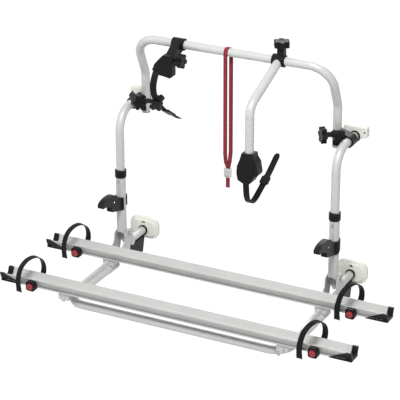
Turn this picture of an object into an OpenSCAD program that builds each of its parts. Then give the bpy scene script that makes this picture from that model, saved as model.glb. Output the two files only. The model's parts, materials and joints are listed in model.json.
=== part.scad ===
// Motorhome bike rack for two bicycles, fixed to the rear wall of the vehicle.
// X runs along the wheel rails, Y points to the vehicle, Z is up. Lengths are in millimetres.
// The wall is the plane Y = 0. The origin lies midway between the two lower fixing holes.
// Distances called reach are measured from the wall towards the bicycles.

/* [Wall fixings] */
// Distance of each side tube from the middle of the rack
side_half = 410; // [390:5:440]
// Distance of the upright side tubes from the wall
side_reach = 175; // [170:1:185]
// Height of the upper stubs above the lower fixing holes
upper_z = 488; // [470:2:520]
// Thickness of the wall pads
pad_t = 20; // [16:1:24]

/* [Side tubes] */
// Diameter of the upper side tubes
upper_d = 30; // [28:0.5:31]
// Diameter of the lower side tubes
lower_d = 35; // [34:0.5:38]
// Wall thickness of the thin tubes
tube_wall = 2; // [1.5:0.1:2.5]
// Bend radius of the upper side tubes
side_bend = 75; // [60:1:85]

/* [Upper frame] */
// Distance of the frame's legs inside the side tubes
leg_inset = 46; // [44:1:54]
// Distance of the legs from the wall
leg_reach = 66; // [60:1:70]
// Distance of the top bar from the wall
bar_reach = 132; // [120:1:150]
// Height of the top bar
bar_z = 754; // [720:2:800]
// Lean of the upper part of the frame in degrees
frame_lean = 24; // [20:1:28]

/* [Platform] */
// Diameter of the platform tube
platform_d = 28; // [25:0.5:30]
// Distance of the front rail from the wall
front_reach = 565; // [540:5:600]
// Distance of the rear rail from the wall
rear_reach = 262; // [256:1:275]
// Distance that each wheel rail runs out beyond the side tubes
rail_over = 226; // [200:2:260]
// Distance of the wheel straps inside the ends of the rails
strap_inset = 108; // [92:2:116]

/* [Bike holders] */
// Place of the short holder along the top bar
short_x = -196; // [-240:2:-150]
// Place of the long holder along the top bar
long_x = 178; // [140:2:240]
// Distance of the long holder's upright from the wall
long_reach = 354; // [330:2:380]
// Place of the security strap along the top bar
red_x = -10; // [-60:2:60]

/* [Hidden] */
$fn = 64;
cut = 2;
fit = 0.05;
gap = 0.3;
lap = 0.4;

leg_half = side_half - leg_inset;
rail_half = side_half + rail_over;
strap_half = rail_half - strap_inset;

// wall pads and stubs
lower_pad_w = 115;
lower_pad_h = 82;
lower_pad_z = -21;
lower_pad_r = 30;
upper_pad_w = 86;
upper_pad_h = 41;
upper_pad_up = 15;
upper_pad_z = upper_z + upper_pad_up;
upper_pad_r = 9;
upper_lobe_r = 22;
pad_edge = 5;
pad_step = 6;
pad_socket = 10;
fixing_r = 4.25;
fixing_head_r = 8;
fixing_head_deep = 8;
upper_fixing_x = 34;
upper_fixing_z = 16;
upper_fixing_r = 3.25;
stub_z = -27;
stub_r = 14;
ring_t = 6;
ring_w = 4;

// hinge between the side tubes and the platform
pivot_in = 17;
pivot_reach = side_reach - pivot_in;
pivot_z = 20;
bolt_r = 5;
bolt_head_r = 8;
bolt_head_t = 4;
block_half = 17;
block_r = 16;
block_foot_in = 50;
block_foot_reach = side_reach - block_foot_in;
cheek_gap = 2;
cheek_t = 3;

// lower side tubes, collars and screws
lower_top_z = 257;
lower_foot_z = -11;
lower_cut_z = 35;
upper_foot_z = 55;
collar_h = 30;
collar_over = 14;
collar_wall = 3;
collar_edge = 3;
collar_dip_r = 30;
collar_dip = 4;
collar_fit = 0.1;
screw_down = 29;
screw_z = lower_top_z - screw_down;
screw_r = 4;
screw_head_r = 6;
screw_head_t = 3;
slot_w = 1.6;
slot_deep = 1.2;

// hooks that catch the folded platform
hook_w = 22;
hook_wall = 4;
hook_z = 121;
hook_len = 148;
hook_h = 80;
hook_shares = [[-0.97, 0.66], [-1, 0.8], [-0.95, 0.89], [-0.87, 0.95], [-0.77, 0.99], [-0.66, 1],
    [-0.54, 0.99], [-0.44, 0.95], [-0.38, 0.9], [-0.29, 0.78], [-0.22, 0.66], [-0.15, 0.6],
    [-0.06, 0.59], [0.06, 0.63], [0.14, 0.65], [0.14, 0.35], [0.05, 0.2], [-0.05, 0.02], [-0.14, 0],
    [-0.25, 0.05], [-0.56, 0.22], [-0.58, 0.44], [-0.81, 0.65]];
hook_screw_back = 52;
hook_screw_up = 50;
hook_screw_r = 3.5;
hook_screw_t = 1.5;
hook_open_from = -12;
hook_open_to = 5;

// upper frame
frame_d = 30;
frame_corner = 81;
frame_knee = 74;
leg_foot_down = 27;
leg_foot_z = upper_z - leg_foot_down;
plug_cap = 4;
plug_in = 16;

// clamps that hold the frame legs on the side tubes
clamp_wall = 6;
clamp_down = 20;
clamp_low_z = upper_z - clamp_down;
clamp_up = 34;
clamp_top_z = upper_z + clamp_up;
clamp_half_y = 20;
clamp_leg_up = 12;
clamp_open = 8;
knob_in = 18;
knob_x = leg_half - knob_in;
knob_out = 78;
knob_reach = leg_reach + knob_out;
knob_up = 35;
knob_z = upper_z + knob_up;
knob_turn = 50;
knob_r = 29;
knob_t = 18;
knob_waist = 20;
lobe_r = 8;
knob_rim = 1;
boss_r = 12;
boss_from = 31;
boss_len = 42;
stem_r = 6;
neck_r = 9;
lug_r = 12;

// platform
leg_end_out = 53;
leg_end_reach = side_reach + leg_end_out;
sleeve_len = 59;
sleeve_wall = 1.5;
platform_z = -78;
platform_bend = 62;
platform_front_in = 6;
platform_front = front_reach - platform_front_in;
platform_plug = 4;
arm_w = 10;
arm_front_out = 25;
arm_front_reach = front_reach + arm_front_out;
arm_front_z = -50;
arm_rear_z = -44;
arm_root_out = 47;
arm_root_reach = side_reach + arm_root_out;
web_back_in = 8;
web_back_reach = side_reach - web_back_in;
web_low_z = -58;
web_top_z = -24;
seat_half = 18;
seat_len = 20;
foot_turn = 34;
foot_r = 3;
foot_head_r = 5;
foot_head_t = 5;
heel_half = 12;
heel_len = side_reach;
heel_h = 60;
heel_reach = 30;

// wheel rails, drawn from the middle of the rail at the height of the rail's top
rail_top_z = -5;
rail_h = 31;
rail_half_w = 31;
rail_foot_w = 22;
rail_lip_w = 23.5;
rail_lip_h = 5.5;
rail_groove = 1.2;
rail_skin = 2.4;
rail_floor = 3;
slot_mouth = 4.2;
slot_half = 7.5;
slot_top = 4.5;
slot_lip = 2;
rail_bolt_r = 3;
rail_bolt_head_r = 6.5;
rail_bolt_head_t = 3.5;
rail_bolt_len = 24;
cap_in = 59;
cap_out = 20;
cap_skin = 1.6;
cap_horn = 6;

// wheel straps, their buckles and buttons
wheel_strap_w = 18;
wheel_strap_t = 3;
wheel_strap_len = 96;
wheel_strap_rise = 84;
wheel_strap_shares = [[0, 0.03], [0.01, 0.25], [-0.05, 0.58], [-0.2, 0.86], [-0.46, 1], [-0.74, 0.88],
    [-0.93, 0.58], [-1, 0.2], [-1, -0.2], [-0.95, -0.5], [-0.91, -0.73]];
wheel_strap_turn = 30;
wheel_strap_lean = 9;
strap_pin_x = 6;
strap_pin_z = -9;
strap_pin_r = 3;
buckle_half = 17;
buckle_out = 43;
buckle_top_z = -8;
buckle_low_z = -44;
buckle_r = 9;
button_r = 11.5;
button_z = -27;
button_out = 6;
button_deep = 5;
button_play = 4;

// bike holders on the top bar
liner_t = 2;
holder_wall = 4;
holder_w = 43;
short_neck_w = 30;
short_neck_r = 13;
head_out = 71;
head_reach = bar_reach + head_out;
head_t = 25;
short_head_left = 21;
short_head_x = short_x - short_head_left;
short_head_down = 58;
short_head_z = bar_z - short_head_down;
short_head_w = 76;
short_head_h = 78;
short_head_shares = [[-0.52, -0.24], [-0.4, 0.05], [-0.18, 0.3], [0.02, 0.5], [0.36, 0.5],
    [0.5, 0.3], [0.5, -0.4], [0.38, -0.5], [0.1, -0.46], [-0.2, -0.42], [-0.3, -0.3]];
short_knob_off = 23;
short_knob_x = short_x + short_neck_w / 2 + short_knob_off;
short_knob_in = 10;
short_knob_reach = head_reach - short_knob_in;
short_knob_above = 21;
short_knob_z = short_head_z + short_knob_above;
short_knob_r = 25;
short_knob_t = 24;
short_knob_waist = 16;
short_stem = 22;
short_boss = 8.5;
holder_strap_w = 22;
holder_strap_t = 3;
short_strap_left = 23;
short_strap_x = short_head_x - short_strap_left;
short_strap_out = [-3, 17, 33, 35, 25, 7, -27, -75, -119, -155];
short_strap_down = [6, 28, 56, 81, 108, 134, 166, 200, 228, 250];
buckle_w = 40;
buckle_len = 56;
buckle_t = 15;
buckle_lobe = 9;
buckle_stub = 20;
buckle_stub_r = 8;
short_buckle_out = 9;
short_buckle_down = 134;
short_buckle_turn = 52;
keeper_len = 36;
keeper_t = 9;
keeper_w = 30;
short_screw_r = 5;
short_screw_t = 2;

long_arm_r = 15;
long_bend = 50;
long_drop = 90;
long_foot_down = 264;
long_foot_z = bar_z - long_foot_down;
long_knob_x = 8;
long_knob_up = 48;
long_knob_z = bar_z + long_knob_up;
long_knob_r = 28;
long_knob_t = 22;
long_boss_r = 11;
long_boss_w = 24;
long_head_w = 76;
long_head_h = 108;
foot_in_head = 17;
long_head_z = long_foot_z + foot_in_head - long_head_h / 2;
long_head_t = 38;
long_head_dent = 1.5;
stem_in = 14;
long_head_shares = [[-0.44, -0.4], [-0.5, -0.2], [-0.48, 0.05], [-0.34, 0.3], [-0.26, 0.5], [0.28, 0.5],
    [0.3, 0.38], [0.44, 0.24], [0.52, -0.08], [0.5, -0.16], [0.36, -0.2], [0.2, -0.42],
    [0.06, -0.5], [-0.2, -0.48]];
long_strap_left = 12;
long_strap_x = long_x - long_strap_left;
long_strap_in = [0, 2, 7, 20, 42, 70, 104, 154, 204, 249];
long_strap_down = [49, 78, 108, 131, 143, 141, 126, 101, 72, 43];
long_keeper_in = 148;
long_keeper_down = 103;
long_keeper_turn = 30;

// red security strap
red_w = 15;
red_t = 1.6;
red_air = 0.15;
red_buckle_down = 454;
red_buckle_z = bar_z - red_buckle_down;
red_tail = 39;
red_low_z = red_buckle_z - red_tail;
red_buckle_h = 34;
red_buckle_w = 24;
red_buckle_t = 12;
red_split = 56;
red_knee_z = red_buckle_z + red_split;
red_frame_t = 2.5;

side_y = -side_reach;
short_strap_path = [for (i = [0 : len(short_strap_out) - 1])
    [-head_reach - short_strap_out[i], short_head_z - short_strap_down[i]]];
long_strap_path = [for (i = [0 : len(long_strap_in) - 1])
    [long_strap_in[i] - long_reach, long_head_z - long_strap_down[i]]];
upper_r = upper_d / 2;
lower_r = lower_d / 2;
lower_bore = upper_r + fit;
frame_r = frame_d / 2;
pivot_y = -pivot_reach;
pad_front = -pad_t;
cheek_in = block_half + cheek_gap;
cheek_out = cheek_in + cheek_t;
platform_r = platform_d / 2;
rail_low_z = rail_top_z - rail_h;
tube_top_z = platform_z + platform_r;
bar_y = -bar_reach;
leg_y = -leg_reach;
lean_run = (bar_reach - leg_reach) / sin(frame_lean);
knee_trim = frame_knee * tan(frame_lean / 2);
knee_z = bar_z - lean_run * cos(frame_lean) - knee_trim;
liner_r = frame_r + fit;
holder_bore = liner_r + liner_t + fit;
holder_r = holder_bore + holder_wall;
heel_top_z = stub_z - stub_r - gap;

// helpers
module rod_x(r, x0, x1) translate([x0, 0, 0]) rotate([0, 90, 0]) cylinder(r = r, h = x1 - x0);
module rod_y(r, y0, y1) translate([0, y0, 0]) rotate([-90, 0, 0]) cylinder(r = r, h = y1 - y0);
module rod_z(r, z0, z1) translate([0, 0, z0]) cylinder(r = r, h = z1 - z0);
// a slab whose outline is drawn in (y, z), from x0 to x1
module slab_x(x0, x1) translate([x0, 0, 0]) rotate([90, 0, 90]) linear_extrude(x1 - x0) children();
// a slab whose outline is drawn in (x, z), from y0 to y1
module slab_y(y0, y1) translate([0, y1, 0]) rotate([90, 0, 0]) linear_extrude(y1 - y0) children();
module slab_z(z0, z1) translate([0, 0, z0]) linear_extrude(z1 - z0) children();
// the right-hand piece as it is, or its mirror image on the left
module on_side(s) {
    if (s > 0) children();
    else mirror([1, 0, 0]) children();
}
module both_sides() {
    for (s = [-1, 1]) on_side(s) children();
}

// outline of two discs joined by their outer tangents
module link2d(a, ra, b, rb) {
    d = b - a;
    along = atan2(d[1], d[0]);
    open = acos((ra - rb) / norm(d));
    translate(a) circle(ra);
    translate(b) circle(rb);
    polygon([for (q = [[a, ra, open], [b, rb, open], [b, rb, -open], [a, ra, -open]])
        q[0] + q[1] * [cos(along + q[2]), sin(along + q[2])]]);
}

function unit(v) = v / norm(v);
function turn_at(p, i) = let (a = unit(p[i] - p[i - 1]), b = unit(p[i + 1] - p[i]))
    atan2(a[0] * b[1] - a[1] * b[0], a * b);
function trim_at(p, i, rb) = (i < 1 || i > len(p) - 2) ? 0 : rb * tan(abs(turn_at(p, i)) / 2);

// a round bend in (x, y) about its own centre, keyed into its straights by inner discs
module bend(rb, r, from, angle, key) {
    rotate(from) rotate_extrude(angle = angle) translate([rb, 0]) circle(r);
    if (key > 0) for (a = [from, from + angle]) rotate(a) translate([rb, 0, 0])
        rotate([90, 0, 0]) translate([0, 0, -lap]) cylinder(r = key, h = 2 * lap);
}
// a round rod along a flat path in (x, y), bent to one radius at every inner point
module bent_rod(p, rb, r, key = 0) {
    last = len(p) - 1;
    for (i = [0 : last - 1]) {
        a = unit(p[i + 1] - p[i]);
        from = p[i] + a * trim_at(p, i, rb);
        to = p[i + 1] - a * trim_at(p, i + 1, rb);
        translate(from) rotate([0, 90, atan2(a[1], a[0])]) cylinder(r = r, h = norm(to - from));
    }
    for (i = [1 : last - 1]) {
        a = unit(p[i] - p[i - 1]);
        turn = turn_at(p, i);
        side = turn > 0 ? 1 : -1;
        middle = p[i] - a * trim_at(p, i, rb) + side * rb * [-a[1], a[0]];
        first = atan2(-side * a[0], side * a[1]);
        translate(middle) bend(rb, r, min(first, first + turn), abs(turn), key);
    }
}

// a smooth line through given points, n steps to each stretch
function smooth(p, n) = [for (i = [0 : len(p) - 2]) for (k = [0 : n - 1])
    let (t = k / n, a = p[max(i - 1, 0)], b = p[i], c = p[i + 1], d = p[min(i + 2, len(p) - 1)])
    0.5 * (2 * b + t * (c - a) + t * t * (2 * a - 5 * b + 4 * c - d)
        + t * t * t * (3 * b - a - 3 * c + d)), p[len(p) - 1]];
function side_of(p, i) = let (d = unit(p[min(i + 1, len(p) - 1)] - p[max(i - 1, 0)])) [-d[1], d[0]];
// outline of a flat band of thickness t along a line
module band2d(p, t) polygon(concat(
    [for (i = [0 : len(p) - 1]) p[i] + t / 2 * side_of(p, i)],
    [for (i = [len(p) - 1 : -1 : 0]) p[i] - t / 2 * side_of(p, i)]));

// cross-section of a plate of width w and thickness t with rounded front edges
module plate_edge(w, t, e) {
    translate([-w / 2, 0]) square([w, t - e]);
    translate([e - w / 2, 0]) square([w - 2 * e, t]);
    for (s = [-1, 1]) translate([s * (w / 2 - e), t - e]) circle(e);
}

// a wall plate with round corners and rounded front edges, its back on z = 0
module soft_plate(w, h, r, t, e) {
    for (sx = [-1, 1], sy = [-1, 1]) translate([sx * (w / 2 - r), sy * (h / 2 - r), 0])
        rotate_extrude() intersection() {
            plate_edge(2 * r, t, e);
            square([r + e, t + e]);
        }
    rotate([90, 0, 90]) translate([0, 0, r - w / 2]) linear_extrude(w - 2 * r) plate_edge(h, t, e);
    rotate([90, 0, 0]) translate([0, 0, r - h / 2]) linear_extrude(h - 2 * r) plate_edge(w, t, e);
}

// a star knob of radius r and thickness t on its own z axis, waisted between its lobes
module star_knob(r, t, waist, lobes) {
    difference() {
        union() {
            cylinder(r = waist, h = t);
            for (i = [1 : lobes]) rotate(360 * i / lobes) translate([r - lobe_r, 0, 0])
                cylinder(r = lobe_r, h = t);
        }
        translate([0, 0, t - slot_deep]) cylinder(r = r - 2 * lobe_r - knob_rim, h = t);
    }
}

// wall pads and stubs
module lower_pad(s) color([0.92, 0.92, 0.86]) on_side(s) translate([side_half, 0, 0]) difference() {
    union() {
        translate([0, 0, lower_pad_z]) rotate([90, 0, 0])
            soft_plate(lower_pad_w, lower_pad_h, lower_pad_r, pad_t - pad_step, pad_edge);
        translate([0, 0, lower_pad_z]) rotate([90, 0, 0])
            soft_plate(lower_pad_w - 3 * pad_step, lower_pad_h - 3 * pad_step,
                lower_pad_r - pad_step, pad_t, pad_edge);
    }
    translate([0, 0, stub_z]) rod_y(stub_r, pad_front - cut, pad_socket - pad_t);
    rod_y(fixing_r, pad_front - cut, cut);
    rod_y(fixing_head_r, pad_front - cut, pad_front + fixing_head_deep);
}
module upper_pad(s) color([0.92, 0.92, 0.86]) on_side(s) translate([side_half, 0, 0]) difference() {
    union() {
        translate([0, 0, upper_pad_z]) rotate([90, 0, 0])
            soft_plate(upper_pad_w, upper_pad_h, upper_pad_r, pad_t, pad_edge);
        translate([0, 0, upper_z]) rod_y(upper_lobe_r, pad_front, 0);
    }
    translate([0, 0, upper_z]) rod_y(upper_r, pad_front - cut, pad_socket - pad_t);
    translate([upper_fixing_x, 0, upper_z + upper_fixing_z]) rod_y(upper_fixing_r, pad_front - cut, cut);
}
module stub_ring(z, r) translate([side_half, 0, z]) difference() {
    rod_y(r + ring_w, pad_front - ring_t, pad_front);
    rod_y(r, pad_front - ring_t - cut, pad_front + cut);
}
module lower_stub_rings() color([0.14, 0.14, 0.15]) both_sides() stub_ring(stub_z, stub_r);
module upper_stub_rings() color([0.14, 0.14, 0.15]) both_sides() stub_ring(upper_z, upper_r);

// hinge of the platform
module hinge_bracket(s) color([0.8, 0.82, 0.8]) on_side(s) translate([side_half, 0, 0]) difference() {
    union() {
        translate([0, 0, stub_z]) rod_y(stub_r, -block_foot_reach, pad_socket - pad_t);
        slab_x(-block_half, block_half)
            link2d([-block_foot_reach, stub_z], stub_r, [pivot_y, pivot_z], block_r);
    }
    translate([0, side_y, 0]) rod_z(lower_r, lower_foot_z - lower_d, lower_top_z);
    translate([0, pivot_y, pivot_z]) rod_x(bolt_r + fit, -block_half - cut, block_half + cut);
}
module hinge_bolts() color([0.7, 0.71, 0.72]) both_sides() translate([side_half, pivot_y, pivot_z]) {
    rod_x(bolt_r, -cheek_out - gap, cheek_out + gap);
    for (s = [-1, 1]) on_side(s) difference() {
        rod_x(bolt_head_r, cheek_out + gap, cheek_out + gap + bolt_head_t);
        rod_x(bolt_r / 2, cheek_out + gap + bolt_head_t / 2, cheek_out + gap + bolt_head_t + cut);
    }
}

// lower side tubes
module lower_tube(s) color([0.78, 0.8, 0.78]) on_side(s) translate([side_half, 0, 0]) difference() {
    translate([0, side_y, 0]) rod_z(lower_r, lower_foot_z, lower_top_z);
    translate([0, side_y, 0]) rod_z(lower_bore, lower_foot_z - cut, lower_top_z + cut);
    slab_x(-lower_d, lower_d) polygon([[side_y - lower_d, lower_cut_z + lower_d],
        [side_y - lower_r, lower_cut_z], [side_y + lower_r, lower_foot_z],
        [side_y + lower_r, lower_foot_z - lower_d], [side_y - lower_d, lower_foot_z - lower_d]]);
    translate([0, pivot_y, pivot_z]) rod_x(bolt_r + fit, -lower_d, lower_d);
    translate([0, 0, screw_z]) rod_y(screw_r, side_y - lower_d, side_y);
}
module tube_collars() color([0.13, 0.13, 0.14]) both_sides() translate([side_half, side_y, 0])
    difference() {
        translate([0, 0, lower_top_z + collar_over]) rotate_extrude() polygon([
            [0, 0], [lower_r + collar_wall - collar_edge, 0], [lower_r + collar_wall, -collar_edge],
            [lower_r + collar_wall, collar_edge - collar_h],
            [lower_r + collar_wall - collar_edge / 2, -collar_h], [0, -collar_h]]);
        rod_z(upper_r + collar_fit, 0, lower_top_z + collar_h);
        rod_z(lower_r, 0, lower_top_z);
        translate([0, 0, lower_top_z + collar_over + collar_dip_r - collar_dip])
            rod_x(collar_dip_r, -lower_d, lower_d);
    }
module height_screws() color([0.7, 0.71, 0.72]) both_sides() translate([side_half, side_y, screw_z])
    difference() {
        union() {
            rod_y(screw_r, -lower_r, -upper_r - gap);
            rod_y(screw_head_r, -lower_r - screw_head_t, -lower_r);
        }
        slab_y(-lower_r - screw_head_t - cut, slot_deep - lower_r - screw_head_t)
            square([2 * screw_head_r + cut, slot_w], center = true);
    }

// hooks
module hook(s) color([0.13, 0.13, 0.14]) on_side(s) translate([side_half, side_y, hook_z])
    difference() {
        intersection() {
            slab_x(-lower_d, lower_d)
                polygon([for (q = hook_shares) [q[0] * hook_len, q[1] * hook_h]]);
            union() {
                slab_x(-hook_w / 2, hook_w / 2) translate([-hook_len, 0])
                    square([hook_len, hook_h]);
                rod_z(lower_r + hook_wall, 0, hook_h);
            }
        }
        rod_z(lower_r + fit, -cut, hook_h + cut);
        slab_y(hook_open_from, hook_open_to) translate([-lower_d, -cut])
            square([lower_d, hook_h + 2 * cut]);
        translate([0, -lower_r - hook_screw_back, hook_screw_up])
            rod_x(hook_screw_r, hook_w / 2 - hook_screw_t, hook_w);
    }

// upper side tubes and frame
module side_line(r, more) rotate([90, 0, 90]) bent_rod([[pad_socket - pad_t + more, upper_z],
    [side_y, upper_z], [side_y, upper_foot_z - more]], side_bend, r);
module upper_tube(s) color([0.8, 0.82, 0.8]) on_side(s) translate([side_half, 0, 0]) difference() {
    side_line(upper_r, 0);
    side_line(upper_r - tube_wall, cut);
}
module half_frame(r, more, key) {
    translate([0, bar_y, bar_z]) rotate([frame_lean, 0, 0]) rotate([90, 0, 0])
        bent_rod([[0, 0], [leg_half, 0], [leg_half, knee_trim - lean_run]], frame_corner, r);
    translate([leg_half, leg_y - frame_knee, knee_z]) rotate([90, 0, 90])
        bend(frame_knee, r, 0, frame_lean, key);
    translate([leg_half, leg_y, 0]) rod_z(r, leg_foot_z - more, knee_z);
}
module upper_frame() color([0.8, 0.82, 0.8]) difference() {
    both_sides() half_frame(frame_r, 0, frame_r - lap);
    both_sides() half_frame(frame_r - tube_wall, cut, frame_r - tube_wall + lap);
}
module frame_plugs() color([0.72, 0.73, 0.73]) both_sides() translate([leg_half, leg_y, leg_foot_z]) {
    rod_z(frame_r, -plug_cap, 0);
    rod_z(frame_r - tube_wall, 0, plug_in);
}

// clamps between frame and side tubes
module frame_clamp(s) color([0.13, 0.13, 0.14]) on_side(s) difference() {
    union() {
        slab_y(leg_y - clamp_half_y, leg_y + clamp_half_y)
            link2d([leg_half, upper_z + clamp_leg_up], frame_r + clamp_wall,
                [side_half, upper_z], upper_r + clamp_wall);
        translate([leg_half, leg_y, 0]) rod_z(frame_r + clamp_wall, clamp_low_z, clamp_top_z);
        slab_z(upper_z + clamp_leg_up, clamp_top_z) link2d([leg_half, leg_y], frame_r + clamp_wall,
            [knob_x + (boss_from + boss_len / 2) * sin(knob_turn),
            (boss_from + boss_len / 2) * cos(knob_turn) - knob_reach], lug_r);
        translate([knob_x, -knob_reach, knob_z]) rotate([-90, 0, -knob_turn])
            translate([0, 0, boss_from]) cylinder(r = boss_r, h = boss_len);
    }
    translate([leg_half, leg_y, 0]) rod_z(frame_r + fit, clamp_low_z - cut, clamp_top_z + boss_r + cut);
    slab_z(clamp_low_z - cut, clamp_top_z + cut) translate([0, -side_reach])
        square([leg_half - clamp_open, side_reach]);
    translate([side_half, 0, upper_z]) rod_y(upper_r, -side_reach, 0);
    translate([knob_x, -knob_reach, knob_z]) rotate([-90, 0, -knob_turn])
        translate([0, 0, boss_from - cut]) cylinder(r = stem_r / 2 + fit, h = boss_len / 2 + cut);
}
module clamp_knob(s) color([0.13, 0.13, 0.14]) on_side(s)
    translate([knob_x, -knob_reach, knob_z]) rotate([-90, 0, -knob_turn]) {
        mirror([0, 0, 1]) translate([0, 0, -knob_t / 2]) star_knob(knob_r, knob_t, knob_waist, 6);
        cylinder(r = neck_r, h = boss_from - gap);
        cylinder(r = stem_r / 2, h = boss_from + boss_len / 2 - gap);
    }

// platform
module arm(s) color([0.8, 0.82, 0.8]) on_side(s) translate([side_half, 0, 0]) difference() {
    union() {
        both_sides() slab_x(cheek_in, cheek_out) {
            translate([pivot_y, pivot_z]) circle(block_r + cheek_t);
            polygon([[pivot_y - block_r + cheek_t, pivot_z + block_r],
                [side_y - block_r, pivot_z + bolt_head_r],
                [side_y - lower_r - cheek_t, 0], [-arm_root_reach, web_top_z],
                [-arm_root_reach, web_low_z], [-web_back_reach, web_low_z],
                [pivot_y, arm_rear_z], [pivot_y + bolt_head_r, stub_z + bolt_head_r],
                [pivot_y + block_r + cheek_t, pivot_z]]);
        }
        slab_x(-cheek_out, cheek_out) polygon([[-arm_root_reach, web_top_z],
            [-arm_root_reach, web_low_z], [-web_back_reach, web_low_z],
            [-web_back_reach, arm_rear_z], [side_y - bolt_head_r, arm_rear_z + cheek_t]]);
        slab_x(-arm_w / 2, arm_w / 2) polygon([[-arm_front_reach, tube_top_z - cut],
            [-arm_front_reach, arm_front_z], [-arm_root_reach, arm_rear_z],
            [-web_back_reach, arm_rear_z], [-web_back_reach, web_low_z],
            [-arm_root_reach, web_low_z], [-arm_root_reach, tube_top_z - cut]]);
        for (y = [-front_reach, -rear_reach]) translate([0, y, 0])
            slab_x(-seat_len, seat_len) polygon([[-seat_half, tube_top_z + cut],
                [-seat_half, rail_low_z], [seat_half, rail_low_z], [seat_half, tube_top_z + cut]]);
    }
    translate([0, 0, platform_z]) rod_y(platform_r, -arm_front_reach - cut, cut);
    translate([0, 0, platform_z])
        rod_y(platform_r + sleeve_wall, -leg_end_reach - sleeve_len, cut - arm_root_reach);
    translate([0, pivot_y, pivot_z]) rod_x(bolt_r + fit, -cheek_out - cut, cheek_out + cut);
    for (y = [-front_reach, -rear_reach]) translate([0, y, 0])
        rod_z(rail_bolt_r + fit, platform_z, rail_low_z + cut);
}
module platform_line(r, end) translate([0, 0, platform_z]) bent_rod([[side_half, -end],
    [side_half, -platform_front], [-side_half, -platform_front], [-side_half, -end]], platform_bend, r);
module foot_place() both_sides() translate([side_half - platform_bend + platform_bend * sin(foot_turn),
    -platform_front + platform_bend * (1 - cos(foot_turn)), platform_z]) children();
module platform_tube() color([0.8, 0.82, 0.8]) difference() {
    union() {
        platform_line(platform_r, leg_end_reach);
        both_sides() translate([side_half, 0, platform_z])
            rod_y(platform_r + sleeve_wall, -leg_end_reach - sleeve_len, -leg_end_reach);
    }
    platform_line(platform_r - tube_wall, leg_end_reach - cut);
    foot_place() rod_z(foot_r, -platform_d, 0);
}
module platform_plugs() color([0.13, 0.13, 0.14]) both_sides()
    translate([side_half, -leg_end_reach, platform_z]) {
        rod_y(platform_r + sleeve_wall, 0, platform_plug);
        rod_y(platform_r - tube_wall, -plug_in, 0);
    }
module platform_feet() color([0.7, 0.71, 0.72]) foot_place() {
    rod_z(foot_r, -platform_r, tube_wall + foot_head_t - platform_r);
    rod_z(foot_head_r, -platform_r - foot_head_t, -platform_r);
}
module heel_blocks() color([0.13, 0.13, 0.14]) both_sides()
    translate([side_half, -heel_reach - heel_len, heel_top_z - heel_h]) slab_x(-heel_half, heel_half)
        polygon([[0, heel_h - heel_top_z + web_low_z],
            [heel_len - web_back_reach + heel_reach, heel_h - heel_top_z + web_low_z],
            [heel_len / 2, heel_h], [heel_len, heel_h], [heel_len - platform_r, 0],
            [heel_len / 3, 0]]);

// wheel rails
module rail_outline(more) polygon([
    [-rail_half_w - more, rail_top_z], [-rail_foot_w - more, rail_low_z + rail_lip_h + rail_groove],
    [-rail_foot_w + rail_groove - more, rail_low_z + rail_lip_h + rail_groove],
    [-rail_foot_w + rail_groove - more, rail_low_z + rail_lip_h],
    [-rail_lip_w - more, rail_low_z + rail_lip_h], [-rail_lip_w - more, rail_low_z - more],
    [rail_lip_w + more, rail_low_z - more], [rail_lip_w + more, rail_low_z + rail_lip_h],
    [rail_foot_w - rail_groove + more, rail_low_z + rail_lip_h],
    [rail_foot_w - rail_groove + more, rail_low_z + rail_lip_h + rail_groove],
    [rail_foot_w + more, rail_low_z + rail_lip_h + rail_groove], [rail_half_w + more, rail_top_z]]);
module rail_trough(less) polygon([[less - rail_half_w, rail_top_z + cut], [less - rail_half_w, rail_top_z],
    [less - rail_foot_w, rail_low_z + slot_lip + slot_top + rail_floor],
    [rail_foot_w - less, rail_low_z + slot_lip + slot_top + rail_floor],
    [rail_half_w - less, rail_top_z], [rail_half_w - less, rail_top_z + cut]]);
module rail(y) color([0.8, 0.82, 0.8]) translate([0, y, 0]) slab_x(-rail_half, rail_half) difference() {
    rail_outline(0);
    rail_trough(rail_skin);
    translate([-slot_mouth, rail_low_z - cut]) square([2 * slot_mouth, slot_lip + slot_top]);
    translate([-slot_half, rail_low_z + slot_lip]) square([2 * slot_half, slot_top]);
}
module rail_caps(y) color([0.13, 0.13, 0.14]) both_sides() translate([0, y, 0]) difference() {
    slab_x(rail_half - cap_in, rail_half + cap_out) rail_outline(cap_skin);
    slab_x(rail_half - cap_in - cut, rail_half) rail_outline(0);
    slab_x(rail_half - cap_in - cut, rail_half) translate([-rail_half_w, rail_top_z - cut])
        square([2 * rail_half_w, 2 * cut]);
    slab_x(rail_half - cut, rail_half + cap_out + cut) rail_trough(cap_horn);
    slab_y(-2 * rail_half_w, 2 * rail_half_w) polygon([[rail_half - cap_in - cut, rail_low_z],
        [rail_half - cap_in, rail_low_z], [rail_half, rail_top_z], [rail_half, rail_h],
        [rail_half - cap_in - cut, rail_h]]);
}
module rail_bolts() color([0.7, 0.71, 0.72]) both_sides()
    for (y = [-front_reach, -rear_reach]) translate([side_half, y, rail_low_z + slot_lip]) {
        rod_z(rail_bolt_head_r, 0, rail_bolt_head_t);
        rod_z(rail_bolt_r, -rail_bolt_len, 0);
    }

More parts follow.
